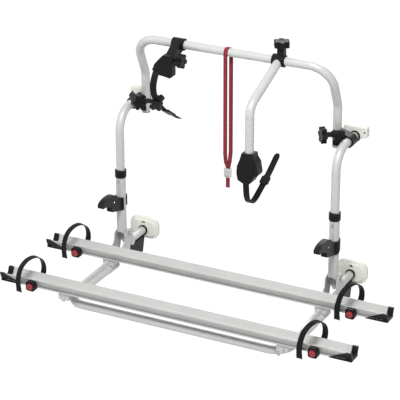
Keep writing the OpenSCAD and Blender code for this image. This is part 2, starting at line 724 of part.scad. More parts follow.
// wheel straps
module wheel_strap(s, y) color([0.12, 0.12, 0.13]) difference() {
    translate([s * strap_half + strap_pin_x, y + rail_half_w + gap + strap_pin_r, strap_pin_z]) {
        rod_x(strap_pin_r, -wheel_strap_w / 2, wheel_strap_w / 2);
        rotate([0, wheel_strap_lean, 0]) rotate([0, 0, -wheel_strap_turn])
            slab_x(-wheel_strap_w / 2, wheel_strap_w / 2) band2d(smooth([for (q = wheel_strap_shares)
                [q[0] * wheel_strap_len, q[1] * wheel_strap_rise]], 3), wheel_strap_t);
    }
    translate([0, y, 0]) slab_x(s * strap_half - wheel_strap_len, s * strap_half + wheel_strap_len)
        rail_outline(gap);
}
module strap_buckles() color([0.13, 0.13, 0.14])
    for (s = [-1, 1], y = [-front_reach, -rear_reach]) translate([s * strap_half, y, 0]) difference() {
        slab_y(-buckle_out, -rail_foot_w) {
            translate([buckle_r - buckle_half, buckle_low_z])
                square([2 * (buckle_half - buckle_r), buckle_top_z - buckle_low_z]);
            translate([-buckle_half, buckle_low_z + buckle_r])
                square([2 * buckle_half, buckle_top_z - buckle_low_z - 2 * buckle_r]);
            for (x = [-1, 1], z = [buckle_low_z + buckle_r, buckle_top_z - buckle_r])
                translate([x * (buckle_half - buckle_r), z]) circle(buckle_r);
        }
        slab_x(-buckle_half - cut, buckle_half + cut) rail_outline(0);
        translate([0, 0, button_z]) rod_y(button_r + gap, -buckle_out - cut, button_deep - buckle_out);
    }
module button(s, y) color([0.7, 0.13, 0.18]) translate([s * strap_half, y, button_z])
    rod_y(button_r, -buckle_out - button_out + button_play / 2, button_deep - button_play - buckle_out);

// bike holders
module on_bar(x) translate([x, bar_y, bar_z]) children();
module holder_liner(x) color([0.2, 0.2, 0.21]) on_bar(x) difference() {
    rod_x(liner_r + liner_t, -holder_w / 2 - liner_t, holder_w / 2 + liner_t);
    rod_x(liner_r, -holder_w, holder_w);
}
module strap_line(x, p, t) slab_x(x - holder_strap_w / 2 - (t > holder_strap_t ? gap : 0),
    x + holder_strap_w / 2 + (t > holder_strap_t ? gap : 0))
    band2d(smooth(p, 3), t);

module short_holder_clamp() color([0.13, 0.13, 0.14]) difference() {
    union() {
        on_bar(short_x) rod_x(holder_r, -holder_w / 2, holder_w / 2);
        slab_x(short_x - short_neck_w / 2, short_x + short_neck_w / 2) link2d(
            [bar_y, bar_z], holder_r, [-head_reach, short_knob_z], short_neck_r);
        translate([short_head_x, 0, short_head_z]) slab_y(-head_reach - head_t / 2, head_t / 2 - head_reach)
            polygon([for (q = short_head_shares) [q[0] * short_head_w, q[1] * short_head_h]]);
    }
    on_bar(short_x) rod_x(holder_bore, -holder_w, holder_w);
    strap_line(short_strap_x, short_strap_path, holder_strap_t + gap);
    translate([0, -short_knob_reach, short_knob_z])
        rod_x(stem_r / 2 + fit, short_knob_x - short_knob_t / 2 - short_stem - fit, short_knob_x);
    translate([short_x, 0, bar_z - short_screw_r])
        rod_y(short_screw_r, bar_y - holder_r - cut, bar_y - holder_r + short_screw_t);
}
module short_holder_knob() color([0.13, 0.13, 0.14])
    translate([short_knob_x, -short_knob_reach, short_knob_z]) rotate([0, 90, 0]) {
        translate([0, 0, -short_knob_t / 2]) star_knob(short_knob_r, short_knob_t, short_knob_waist, 5);
        translate([0, 0, -short_knob_t / 2 - short_stem]) cylinder(r = stem_r / 2, h = short_stem + cut);
        translate([0, 0, -short_knob_t / 2 - short_boss]) cylinder(r = stem_r, h = short_boss + cut);
    }
module short_holder_strap() color([0.12, 0.12, 0.13])
    strap_line(short_strap_x, short_strap_path, holder_strap_t);
module short_holder_buckle() color([0.13, 0.13, 0.14]) difference() {
    translate([short_strap_x, -head_reach - short_buckle_out, short_head_z - short_buckle_down])
        rotate([short_buckle_turn - 90, 0, 0]) {
        slab_y(-buckle_t / 2, buckle_t / 2) {
            square([buckle_w - buckle_lobe, buckle_len - buckle_lobe], center = true);
            for (x = [-1, 1], z = [-1, 0, 1]) translate([x * (buckle_w / 2 - buckle_lobe),
                z * (buckle_len / 2 - buckle_lobe)]) circle(buckle_lobe);
        }
        rod_x(buckle_stub_r, -buckle_w / 2 - buckle_stub, 0);
    }
    strap_line(short_strap_x, short_strap_path, holder_strap_t + gap);
}

module long_line(r, from, key) translate([long_x, bar_y, bar_z]) rotate([90, 0, 90])
    bent_rod([from * unit([bar_reach - long_reach, -long_drop]), [bar_reach - long_reach, -long_drop],
        [bar_reach - long_reach, long_foot_z - bar_z]], long_bend, r, key);
module long_holder_arm() color([0.8, 0.82, 0.8]) difference() {
    long_line(long_arm_r, 0, long_arm_r - lap);
    on_bar(long_x) rod_x(holder_r, -holder_w, holder_w);
    difference() {
        long_line(long_arm_r - tube_wall, 0, long_arm_r - tube_wall + lap);
        on_bar(long_x) rod_x(holder_r + long_arm_r, -holder_w, holder_w);
    }
}
module long_holder_clamp() color([0.13, 0.13, 0.14]) difference() {
    union() {
        on_bar(long_x) rod_x(holder_r, -holder_w / 2, holder_w / 2);
        on_bar(long_x + long_knob_x) slab_x(-long_boss_w / 2, long_boss_w / 2)
            link2d([0, 0], long_boss_r, [0, long_knob_z - bar_z - long_boss_r - gap], long_boss_r);
    }
    on_bar(long_x) rod_x(holder_bore, -holder_w, holder_w);
    translate([long_x + long_knob_x, bar_y, 0])
        rod_z(stem_r / 2 + fit, long_knob_z - stem_in - cut, long_knob_z + cut);
}
module long_holder_knob() color([0.13, 0.13, 0.14])
    translate([long_x + long_knob_x, bar_y, long_knob_z]) {
        star_knob(long_knob_r, long_knob_t, knob_waist, 6);
        rod_z(stem_r / 2, -stem_in, cut);
    }
module long_holder_head() color([0.14, 0.14, 0.15]) difference() {
    union() {
        translate([long_x, 0, long_head_z])
            slab_y(-long_reach - long_head_t / 2, long_head_t / 2 - long_reach)
                polygon([for (q = long_head_shares) [q[0] * long_head_w, q[1] * long_head_h]]);
        translate([long_x, -long_reach, 0])
            rod_z(long_head_t / 2, long_head_z + long_head_h / 4, long_head_z + long_head_h / 2);
    }
    translate([long_x, -long_reach, 0]) rod_z(long_arm_r, long_foot_z, bar_z);
    strap_line(long_strap_x, long_strap_path, holder_strap_t + gap);
    for (side = [-1, 1]) translate([0, side * long_head_t / 2 - long_reach, 0])
        slab_y(-long_head_dent, long_head_dent) translate([long_x, long_head_z - long_head_dent])
            difference() {
                circle(long_head_w / 3);
                circle(long_head_w / 3 - long_head_dent);
            }
}
module long_holder_strap() color([0.12, 0.12, 0.13])
    strap_line(long_strap_x, long_strap_path, holder_strap_t);
module long_holder_keeper() color([0.13, 0.13, 0.14]) difference() {
    translate([long_strap_x, long_keeper_in - long_reach, long_head_z - long_keeper_down])
        rotate([long_keeper_turn, 0, 0]) slab_z(-keeper_t / 2, keeper_t / 2) {
            square([keeper_w, keeper_len - keeper_t], center = true);
            square([keeper_w - keeper_t, keeper_len], center = true);
        }
    strap_line(long_strap_x, long_strap_path, holder_strap_t + gap);
}

// security strap
red_over = frame_r + red_air + red_t / 2;
red_path = concat([[bar_y, red_low_z], [bar_y, red_buckle_z], [bar_y, red_buckle_z + red_buckle_h],
    [bar_y - red_over * 0.7, red_knee_z], [bar_y - red_over, red_knee_z + red_buckle_h]],
    [for (a = [180 : -15 : 0]) [bar_y + red_over * cos(a), bar_z + red_over * sin(a)]],
    [[bar_y + red_over, red_knee_z + red_buckle_h], [bar_y + red_over * 0.7, red_knee_z],
    [bar_y + red_t + gap, red_buckle_z + red_buckle_h + gap]]);
module red_band(w, t) slab_x(red_x - w / 2, red_x + w / 2) band2d(red_path, t);
module security_strap() color([0.6, 0.12, 0.17]) red_band(red_w, red_t);
module security_buckle() color([0.7, 0.71, 0.72]) difference() {
    translate([red_x, bar_y, red_buckle_z]) {
        slab_y(-red_buckle_t / 2, red_buckle_t / 2) translate([-red_buckle_w / 2, 0])
            square([red_buckle_w, red_buckle_h]);
        translate([0, -red_buckle_t / 2, red_buckle_h / 2])
            rod_x(red_buckle_t / 3, -red_buckle_w / 2, red_buckle_w / 2);
    }
    red_band(red_w + 2 * gap, red_t + 2 * red_air);
    translate([red_x, bar_y, red_buckle_z + red_frame_t])
        slab_y(-red_buckle_t, -red_t) translate([-red_w / 2, 0])
            square([red_w, red_buckle_h / 4]);
}

lower_pad(-1);  // lower_pad_left
lower_pad(1);  // lower_pad_right
lower_stub_rings();
hinge_bracket(-1);  // hinge_bracket_left
hinge_bracket(1);  // hinge_bracket_right
lower_tube(-1);  // lower_tube_left
lower_tube(1);  // lower_tube_right
tube_collars();
height_screws();
hinge_bolts();
hook(-1);  // hook_left
hook(1);  // hook_right
upper_tube(-1);  // upper_tube_left
upper_tube(1);  // upper_tube_right
upper_pad(-1);  // upper_pad_left
upper_pad(1);  // upper_pad_right
upper_stub_rings();
frame_clamp(-1);  // frame_clamp_left
frame_clamp(1);  // frame_clamp_right
clamp_knob(-1);  // clamp_knob_left
clamp_knob(1);  // clamp_knob_right
upper_frame();
frame_plugs();
holder_liner(short_x);  // short_holder_liner
short_holder_clamp();
short_holder_knob();
short_holder_strap();
short_holder_buckle();
holder_liner(long_x);  // long_holder_liner
long_holder_clamp();
long_holder_knob();
long_holder_arm();
long_holder_head();
long_holder_strap();
long_holder_keeper();
security_strap();
security_buckle();
arm(-1);  // arm_left
arm(1);  // arm_right
platform_tube();
platform_plugs();
platform_feet();
heel_blocks();
rail(-front_reach);  // front_rail
rail(-rear_reach);  // rear_rail
rail_caps(-front_reach);  // front_rail_caps
rail_caps(-rear_reach);  // rear_rail_caps
rail_bolts();
strap_buckles();
wheel_strap(-1, -front_reach);  // front_strap_left
wheel_strap(1, -front_reach);  // front_strap_right
wheel_strap(-1, -rear_reach);  // rear_strap_left
wheel_strap(1, -rear_reach);  // rear_strap_right
button(-1, -front_reach);  // front_button_left
button(1, -front_reach);  // front_button_right
button(-1, -rear_reach);  // rear_button_left
button(1, -rear_reach);  // rear_button_right
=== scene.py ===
# %% [markdown]
# This lesson dresses a rack that carries two bicycles on the rear wall of a motorhome.
# The rack's metal and plastic parts come as finished CAD solids, in metres, with +X along
# the wheel rails, +Y into the vehicle's wall and +Z up. Blender gives them their finish and
# adds what is too soft or too fine for the CAD: webbing, ladder ribs, stitches and the heads
# of small screws.

# %% Load the CAD parts
import json
import math

import bmesh
import bpy
from mathutils import Matrix, Vector


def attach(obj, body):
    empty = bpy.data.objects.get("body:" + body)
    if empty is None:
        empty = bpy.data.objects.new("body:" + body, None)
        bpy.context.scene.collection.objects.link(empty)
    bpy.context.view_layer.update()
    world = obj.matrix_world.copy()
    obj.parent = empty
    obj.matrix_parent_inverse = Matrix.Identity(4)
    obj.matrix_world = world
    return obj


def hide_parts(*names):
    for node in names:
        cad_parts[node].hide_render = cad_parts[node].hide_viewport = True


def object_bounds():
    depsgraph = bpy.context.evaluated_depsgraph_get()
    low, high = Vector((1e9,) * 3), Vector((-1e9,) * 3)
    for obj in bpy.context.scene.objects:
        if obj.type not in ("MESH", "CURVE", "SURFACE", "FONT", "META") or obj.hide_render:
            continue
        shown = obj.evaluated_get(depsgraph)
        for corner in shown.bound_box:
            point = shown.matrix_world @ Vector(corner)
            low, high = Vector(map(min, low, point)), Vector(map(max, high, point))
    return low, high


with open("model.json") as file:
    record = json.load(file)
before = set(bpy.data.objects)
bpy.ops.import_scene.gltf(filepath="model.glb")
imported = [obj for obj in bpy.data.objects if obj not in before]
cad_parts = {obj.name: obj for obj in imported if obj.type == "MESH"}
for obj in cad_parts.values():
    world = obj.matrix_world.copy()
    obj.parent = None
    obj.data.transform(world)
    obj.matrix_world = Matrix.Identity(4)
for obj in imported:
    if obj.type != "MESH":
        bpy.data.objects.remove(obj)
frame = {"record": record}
cad_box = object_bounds()
MM = 0.001
SIDES = {"left": -1, "right": 1}

# %% [markdown]
# The photograph was taken from the right, a little above the rack, with a long lens. The
# camera stands 6.2 m away, and its lens takes in 12.35 degrees. A camera looks along its own
# -Z axis, so its matrix holds its right, its up and its backward direction as columns. The
# angles are in radians.

# %% Camera
AZIMUTH, ELEVATION, ROLL = 0.47609, 0.41275, -0.002894
AIM, DISTANCE, FAR_END = Vector((0, -0.361, 0.305)), 6.16724, 50
HALF_PICTURE_PX, FOCAL_PX = 200, 1847.98

back = Vector((math.sin(AZIMUTH) * math.cos(ELEVATION), -math.cos(AZIMUTH) * math.cos(ELEVATION),
               math.sin(ELEVATION)))
level = Vector((math.cos(AZIMUTH), math.sin(AZIMUTH), 0))
upright = back.cross(level)
right = math.cos(ROLL) * level + math.sin(ROLL) * upright
up = back.cross(right)
camera = bpy.data.objects.new("camera", bpy.data.cameras.new("camera"))
bpy.context.scene.collection.objects.link(camera)
camera.data.angle = 2 * math.atan(HALF_PICTURE_PX / FOCAL_PX)
camera.data.clip_end = FAR_END
facing = Matrix((right, up, back)).transposed().to_4x4()
camera.matrix_world = Matrix.Translation(AIM + back * DISTANCE) @ facing
bpy.context.scene.camera = camera
print("camera at", [round(v, 2) for v in camera.location])

# %% [markdown]
# Worlds and materials are trees of shader nodes, so a few small helpers come first: one empties
# a tree, one adds nodes and one joins their sockets. The last tells the rays that a viewer
# sees, straight or by reflection, from those that only carry light. A white that is seen then
# needn't light the rack.

# %% Node helpers
def new_nodes(owner):
    owner.use_nodes = True
    tree = owner.node_tree
    tree.nodes.clear()
    return tree


def add_nodes(tree, *kinds):
    return [tree.nodes.new(kind) for kind in kinds]


def wire(tree, *pairs):
    for out, into in pairs:
        tree.links.new(out, into)


def seen_rays(tree):
    """1 where a ray comes from the camera, a reflection or a see-through part."""
    path, first, second = add_nodes(tree, "ShaderNodeLightPath", "ShaderNodeMath", "ShaderNodeMath")
    first.operation = second.operation = "MAXIMUM"
    wire(tree, (path.outputs["Is Camera Ray"], first.inputs[0]),
         (path.outputs["Is Glossy Ray"], first.inputs[1]), (first.outputs[0], second.inputs[0]),
         (path.outputs["Is Transmission Ray"], second.inputs[1]))
    return second.outputs[0]


print("helpers for", bpy.app.version_string)

# %% [markdown]
# A studio shot on white needs soft light from all round, and the world gives some of it. A high
# lamp in front shows round tubes as round, and weaker ones at the side and behind keep the
# other sides readable.

# %% Sky and lamps
SKY_LIGHT, SKY_WHITE = 0.24, 1.0
LAMP_AIM = Vector((0, -0.3, 0.3))
LAMPS = {"key_lamp": ((0.9, -2.6, 4.0), 1.2, 165), "side_lamp": ((-3.2, -1.6, 2.2), 1.6, 18),
         "back_lamp": ((-0.6, 3.6, 2.4), 1.8, 60)}

scene = bpy.context.scene
scene.view_settings.view_transform = "Standard"
scene.world = bpy.data.worlds.new("studio")
sky = new_nodes(scene.world)
soft, white, either, sky_out = add_nodes(
    sky, "ShaderNodeBackground", "ShaderNodeBackground", "ShaderNodeMixShader",
    "ShaderNodeOutputWorld")
for backdrop, strength in ((soft, SKY_LIGHT), (white, SKY_WHITE)):
    backdrop.inputs["Color"].default_value = (1, 1, 1, 1)
    backdrop.inputs["Strength"].default_value = strength
wire(sky, (seen_rays(sky), either.inputs[0]), (soft.outputs[0], either.inputs[1]),
     (white.outputs[0], either.inputs[2]), (either.outputs[0], sky_out.inputs["Surface"]))


def lamp(name, place, width, power):
    """A square lamp that points at the middle of the rack."""
    light = bpy.data.lights.new(name, "AREA")
    light.shape = "SQUARE"
    light.size = width
    light.energy = power
    thing = bpy.data.objects.new(name, light)
    thing.location = place
    thing.rotation_euler = (LAMP_AIM - Vector(place)).to_track_quat("-Z", "Y").to_euler()
    scene.collection.objects.link(thing)


for name, (place, width, power) in LAMPS.items():
    lamp(name, place, width, power)
print(len(LAMPS), "lamps under a pale sky")

# %% [markdown]
# The floor is plain diffuse white. The rays that a viewer sees also meet a share of glow in
# it, which lifts it to the white of the photograph and leaves a faint shadow under the rack.

# %% Floor
FLOOR_HALF, FLOOR_GAP = 12, 0.5 * MM
FLOOR_WHITE, FLOOR_GLOW, GLOW_SHARE = 0.75, 1.12, 0.9


def pale_floor():
    material = bpy.data.materials.new("pale_floor")
    tree = new_nodes(material)
    matt, glow, blend, share, surface = add_nodes(
        tree, "ShaderNodeBsdfDiffuse", "ShaderNodeEmission", "ShaderNodeMixShader",
        "ShaderNodeMath", "ShaderNodeOutputMaterial")
    matt.inputs["Color"].default_value = (FLOOR_WHITE, FLOOR_WHITE, FLOOR_WHITE, 1)
    glow.inputs["Color"].default_value = (1, 1, 1, 1)
    glow.inputs["Strength"].default_value = FLOOR_GLOW
    share.operation = "MULTIPLY"
    share.inputs[1].default_value = GLOW_SHARE
    wire(tree, (seen_rays(tree), share.inputs[0]), (share.outputs[0], blend.inputs[0]),
         (matt.outputs[0], blend.inputs[1]), (glow.outputs[0], blend.inputs[2]),
         (blend.outputs[0], surface.inputs["Surface"]))
    return material


floor_z = cad_box[0][2] - FLOOR_GAP
corners = [(x * FLOOR_HALF, y * FLOOR_HALF, floor_z)
           for x, y in ((-1, -1), (1, -1), (1, 1), (-1, 1))]
floor_mesh = bpy.data.meshes.new("floor")
floor_mesh.from_pydata(corners, [], [(0, 1, 2, 3)])
floor_mesh.materials.append(pale_floor())
floor = bpy.data.objects.new("floor", floor_mesh)
scene.collection.objects.link(floor)
print("floor at", round(floor_z, 4))

# %% [markdown]
# Effects that several finishes share are shader node groups, and each is built once. A group
# takes numbers in and puts out masks, heights or normals, while the surface itself stays in the
# material. These helpers make a group's two ends, a calculation and a noise.

# %% Helpers for shared effects
FLOAT, VECTOR = "NodeSocketFloat", "NodeSocketVector"


def group(name, inputs, outputs):
    """An empty node group with named numbers as inputs, and the nodes at its two ends."""
    made = bpy.data.node_groups.new(name, "ShaderNodeTree")
    for label, value in inputs.items():
        socket = made.interface.new_socket(label, in_out="INPUT", socket_type=FLOAT)
        socket.default_value = value
    for label, kind in outputs.items():
        made.interface.new_socket(label, in_out="OUTPUT", socket_type=kind)
    return made, *add_nodes(made, "NodeGroupInput", "NodeGroupOutput")


def feed(tree, value, socket):
    """Links another node's output to a socket, or sets a number or a colour on it."""
    if isinstance(value, bpy.types.NodeSocket):
        tree.links.new(value, socket)
    elif isinstance(value, tuple):
        socket.default_value = (*value, 1)
    else:
        socket.default_value = value


def math_node(tree, operation, *values, clamp=False):
    node = tree.nodes.new("ShaderNodeMath")
    node.operation = operation
    node.use_clamp = clamp
    for value, socket in zip(values, node.inputs):
        feed(tree, value, socket)
    return node.outputs[0]


def noise_node(tree, vector, scale, detail=3.0, rough=0.5):
    node = tree.nodes.new("ShaderNodeTexNoise")
    for label, value in (("Detail", detail), ("Roughness", rough), ("Scale", scale),
                         ("Vector", vector)):
        feed(tree, value, node.inputs[label])
    return node.outputs["Fac"]


print("sockets:", FLOAT, VECTOR)

# %% [markdown]
# Handling rubs a part bright along its edges. A Bevel node gives a softened normal, which
# differs from the true one only along edges, so their dot product finds the edges. A noise
# breaks the mask up.

# %% Edge wear
def edge_wear_group(samples=6, sharpness=9.0, patch_scale=60.0):
    made, given, put = group("edge_wear", {"Radius": 1.2 * MM, "Amount": 0.6},
                             {"Mask": FLOAT, "Normal": VECTOR})
    bevel, geometry, dot, place = add_nodes(
        made, "ShaderNodeBevel", "ShaderNodeNewGeometry", "ShaderNodeVectorMath",
        "ShaderNodeTexCoord")
    bevel.samples = samples
    dot.operation = "DOT_PRODUCT"
    wire(made, (given.outputs["Radius"], bevel.inputs["Radius"]), (bevel.outputs[0], dot.inputs[0]),
         (geometry.outputs["Normal"], dot.inputs[1]), (bevel.outputs[0], put.inputs["Normal"]))
    bend = math_node(made, "SUBTRACT", 1.0, dot.outputs["Value"])
    edge = math_node(made, "MULTIPLY", bend, sharpness, clamp=True)
    rub = math_node(made, "MULTIPLY", edge, noise_node(made, place.outputs["Object"], patch_scale))
    mask = math_node(made, "MULTIPLY", rub, given.outputs["Amount"], clamp=True)
    wire(made, (mask, put.inputs["Mask"]))
    return made


edge_wear = edge_wear_group()
print(edge_wear.name, "has", len(edge_wear.nodes), "nodes")

# %% [markdown]
# Grain is the fine texture of moulded plastic, rubber and webbing. Large soft blotches, from the
# same noise at another scale, keep a surface from looking like one flat colour.

# %% Fine grain
def fine_grain_group():
    made, given, put = group("fine_grain", {"Scale": 900.0, "Blotch Scale": 14.0},
                             {"Height": FLOAT, "Blotch": FLOAT})
    place = made.nodes.new("ShaderNodeTexCoord").outputs["Object"]
    grain = noise_node(made, place, given.outputs["Scale"], detail=2.0)
    blotch = noise_node(made, place, given.outputs["Blotch Scale"], detail=4.0)
    wire(made, (grain, put.inputs["Height"]), (blotch, put.inputs["Blotch"]))
    return made


fine_grain = fine_grain_group()
print(fine_grain.name, "has", len(fine_grain.nodes), "nodes")

# %% [markdown]
# Dust lies where a surface faces up, in soft patches. The normal's Z says how far up a surface
# faces, and a noise leaves some of it bare.

# %% Settled dust
def settled_dust_group(least_rise=0.35, sharpness=1.6, bare_share=0.35):
    made, given, put = group("settled_dust", {"Amount": 0.3, "Scale": 25.0}, {"Mask": FLOAT})
    geometry, place, apart = add_nodes(
        made, "ShaderNodeNewGeometry", "ShaderNodeTexCoord", "ShaderNodeSeparateXYZ")
    wire(made, (geometry.outputs["Normal"], apart.inputs[0]))
    rise = math_node(made, "SUBTRACT", apart.outputs["Z"], least_rise)
    flat_top = math_node(made, "MULTIPLY", rise, sharpness, clamp=True)
    cloud = noise_node(made, place.outputs["Object"], given.outputs["Scale"], 5.0, 0.65)
    patch = math_node(made, "SUBTRACT", cloud, bare_share, clamp=True)
    both = math_node(made, "MULTIPLY", flat_top, patch)
    mask = math_node(made, "MULTIPLY", both, given.outputs["Amount"], clamp=True)
    wire(made, (mask, put.inputs["Mask"]))
    return made


settled_dust = settled_dust_group()
print(settled_dust.name, "has", len(settled_dust.nodes), "nodes")

# %% [markdown]
# Drawn lines are the fine marks that a die leaves along an extrusion. A noise makes them when it
# is scaled little along the piece and much across it, so each direction has its own scale.

# %% Drawn lines
def drawn_lines_group():
    made, given, put = group("drawn_lines", {"X Scale": 7.0, "Y Scale": 420.0, "Z Scale": 420.0},
                             {"Height": FLOAT})
    place, span, stretch = add_nodes(
        made, "ShaderNodeTexCoord", "ShaderNodeCombineXYZ", "ShaderNodeVectorMath")
    stretch.operation = "MULTIPLY"
    for axis in "XYZ":
        wire(made, (given.outputs[axis + " Scale"], span.inputs[axis]))
    wire(made, (place.outputs["Object"], stretch.inputs[0]), (span.outputs[0], stretch.inputs[1]))
    lines = noise_node(made, stretch.outputs[0], 1.0, detail=2.0)
    wire(made, (lines, put.inputs["Height"]))
    return made


drawn_lines = drawn_lines_group()
print(drawn_lines.name, "has", len(drawn_lines.nodes), "nodes")

# %% [markdown]
# Painted shade: the long groove low in the rails' outer walls is darkened, and the darkening
# fades up these walls, which turn away from the light. Faces that look up stay clean.

# %% Painted shade in the rails' grooves
def painted_wall_shade_group(groove_half=1.4 * MM, wall_rise=0.2):
    made, given, put = group("painted_wall_shade", {"Groove": -29.9 * MM, "Fade": 26 * MM, "Depth": 0.5},
                             {"Mask": FLOAT})
    place, apart, turned = add_nodes(
        made, "ShaderNodeTexCoord", "ShaderNodeSeparateXYZ", "ShaderNodeSeparateXYZ")
    wire(made, (place.outputs["Object"], apart.inputs[0]),
         (place.outputs["Normal"], turned.inputs[0]))
    rise = math_node(made, "SUBTRACT", apart.outputs["Z"], given.outputs["Groove"])
    climbed = math_node(made, "DIVIDE", rise, given.outputs["Fade"])
    faded = math_node(made, "SUBTRACT", 1.0, climbed, clamp=True)
    above = math_node(made, "MULTIPLY", faded, math_node(made, "GREATER_THAN", rise, 0.0))
    fading = math_node(made, "MULTIPLY", above, given.outputs["Depth"])
    groove = math_node(made, "LESS_THAN", math_node(made, "ABSOLUTE", rise), groove_half)
    outer = math_node(made, "LESS_THAN", turned.outputs["Z"], wall_rise)
    mask = math_node(made, "MULTIPLY", math_node(made, "MAXIMUM", fading, groove), outer)
    wire(made, (mask, put.inputs["Mask"]))
    return made


painted_wall_shade = painted_wall_shade_group()
print(painted_wall_shade.name, "has", len(painted_wall_shade.nodes), "nodes")

# %% [markdown]
# Every finish is one Principled surface: its colour wanders a little in blotches, brightens or
# greys where the edges are rubbed, and takes some dust on top. Grain goes to roughness and,
# through a Bump node, to the normal. Numbers that hold for a whole finish sit on the
# Principled sockets themselves.

# %% How a finish is made
# The second colour is painted shade, for the rails' grooves and their outer walls.
DUST_COLOUR, PAINTED_SHADE_COLOUR = (0.62, 0.6, 0.56), (0.1, 0.105, 0.1)
MIX_LOW, MIX_HIGH, MIX_RESULT = 6, 7, 2


def place_group(tree, made, **values):
    node = tree.nodes.new("ShaderNodeGroup")
    node.node_tree = made
    for label, value in values.items():
        node.inputs[label.replace("_", " ")].default_value = value
    return node


def mix_colour(tree, share, low, high):
    """The low colour where the share is 0, and the high one where it is 1."""
    node = tree.nodes.new("ShaderNodeMix")
    node.data_type = "RGBA"
    for label, value in (("Factor", share), (MIX_LOW, low), (MIX_HIGH, high)):
        feed(tree, value, node.inputs[label])
    return node.outputs[MIX_RESULT]


def spread(tree, value, low, high):
    node = tree.nodes.new("ShaderNodeMapRange")
    node.inputs["To Min"].default_value = low
    node.inputs["To Max"].default_value = high
    tree.links.new(value, node.inputs["Value"])
    return node.outputs[0]


def finish(name, colour, dark, rubbed, metal=0.0, rough=(0.4, 0.5), grain=900.0, blotch=14.0,
           bump=0.15, depth=0.0002, edge=0.0012, wear=0.5, dust=0.25, lines=None, painted_shade=False,
           **sockets):
    """A colour that wanders to a darker one, rubbed along its edges and dusty on top."""
    material = bpy.data.materials.new(name)
    tree = new_nodes(material)
    out, skin, relief = add_nodes(
        tree, "ShaderNodeOutputMaterial", "ShaderNodeBsdfPrincipled", "ShaderNodeBump")
    worn = place_group(tree, edge_wear, Radius=edge, Amount=wear)
    grit = place_group(tree, fine_grain, Scale=grain, Blotch_Scale=blotch)
    fall = place_group(tree, settled_dust, Amount=dust)
    base = mix_colour(tree, grit.outputs["Blotch"], dark, colour)
    base = mix_colour(tree, worn.outputs["Mask"], base, rubbed)
    base = mix_colour(tree, fall.outputs["Mask"], base, DUST_COLOUR)
    # The rails' finish gets painted shade: darker in the groove and up the outer walls.
    if painted_shade:
        base = mix_colour(tree, place_group(tree, painted_wall_shade).outputs["Mask"], base, PAINTED_SHADE_COLOUR)
    height, gloss = grit.outputs["Height"], grit.outputs["Blotch"]
    if lines:
        scales = dict(zip(("X_Scale", "Y_Scale", "Z_Scale"), lines))
        height = gloss = place_group(tree, drawn_lines, **scales).outputs["Height"]
    relief.inputs["Strength"].default_value = bump
    relief.inputs["Distance"].default_value = depth
    skin.inputs["Metallic"].default_value = metal
    for label, value in sockets.items():
        skin.inputs[label.replace("_", " ")].default_value = value
    wire(tree, (base, skin.inputs["Base Color"]),
         (spread(tree, gloss, *rough), skin.inputs["Roughness"]),
         (height, relief.inputs["Height"]), (worn.outputs["Normal"], relief.inputs["Normal"]),
         (relief.outputs[0], skin.inputs["Normal"]), (skin.outputs[0], out.inputs["Surface"]))
    return material


print("dust", DUST_COLOUR, "and painted shade", PAINTED_SHADE_COLOUR)

# %% [markdown]
# The rails, tubes and arms are drawn aluminium with a satin coat, so they get a pale base with
# little metal in it. Their die marks run along the piece, so there is one finish for each
# direction. Screws and the cam buckle are bright metal. Mouldings are black, cream or grey
# plastic, and the straps are a slightly shiny rubber.

# %% The rack's finishes
ALONG, ACROSS = 7, 520


def drawn_aluminium(name, lines, painted_shade=False):
    return finish(name, (0.7, 0.71, 0.695), (0.62, 0.63, 0.615), (0.84, 0.84, 0.83), metal=0.15,
                  rough=(0.3, 0.46), blotch=9.0, bump=0.12, wear=0.35, dust=0.04, lines=lines,
                  painted_shade=painted_shade, Specular_IOR_Level=0.15)


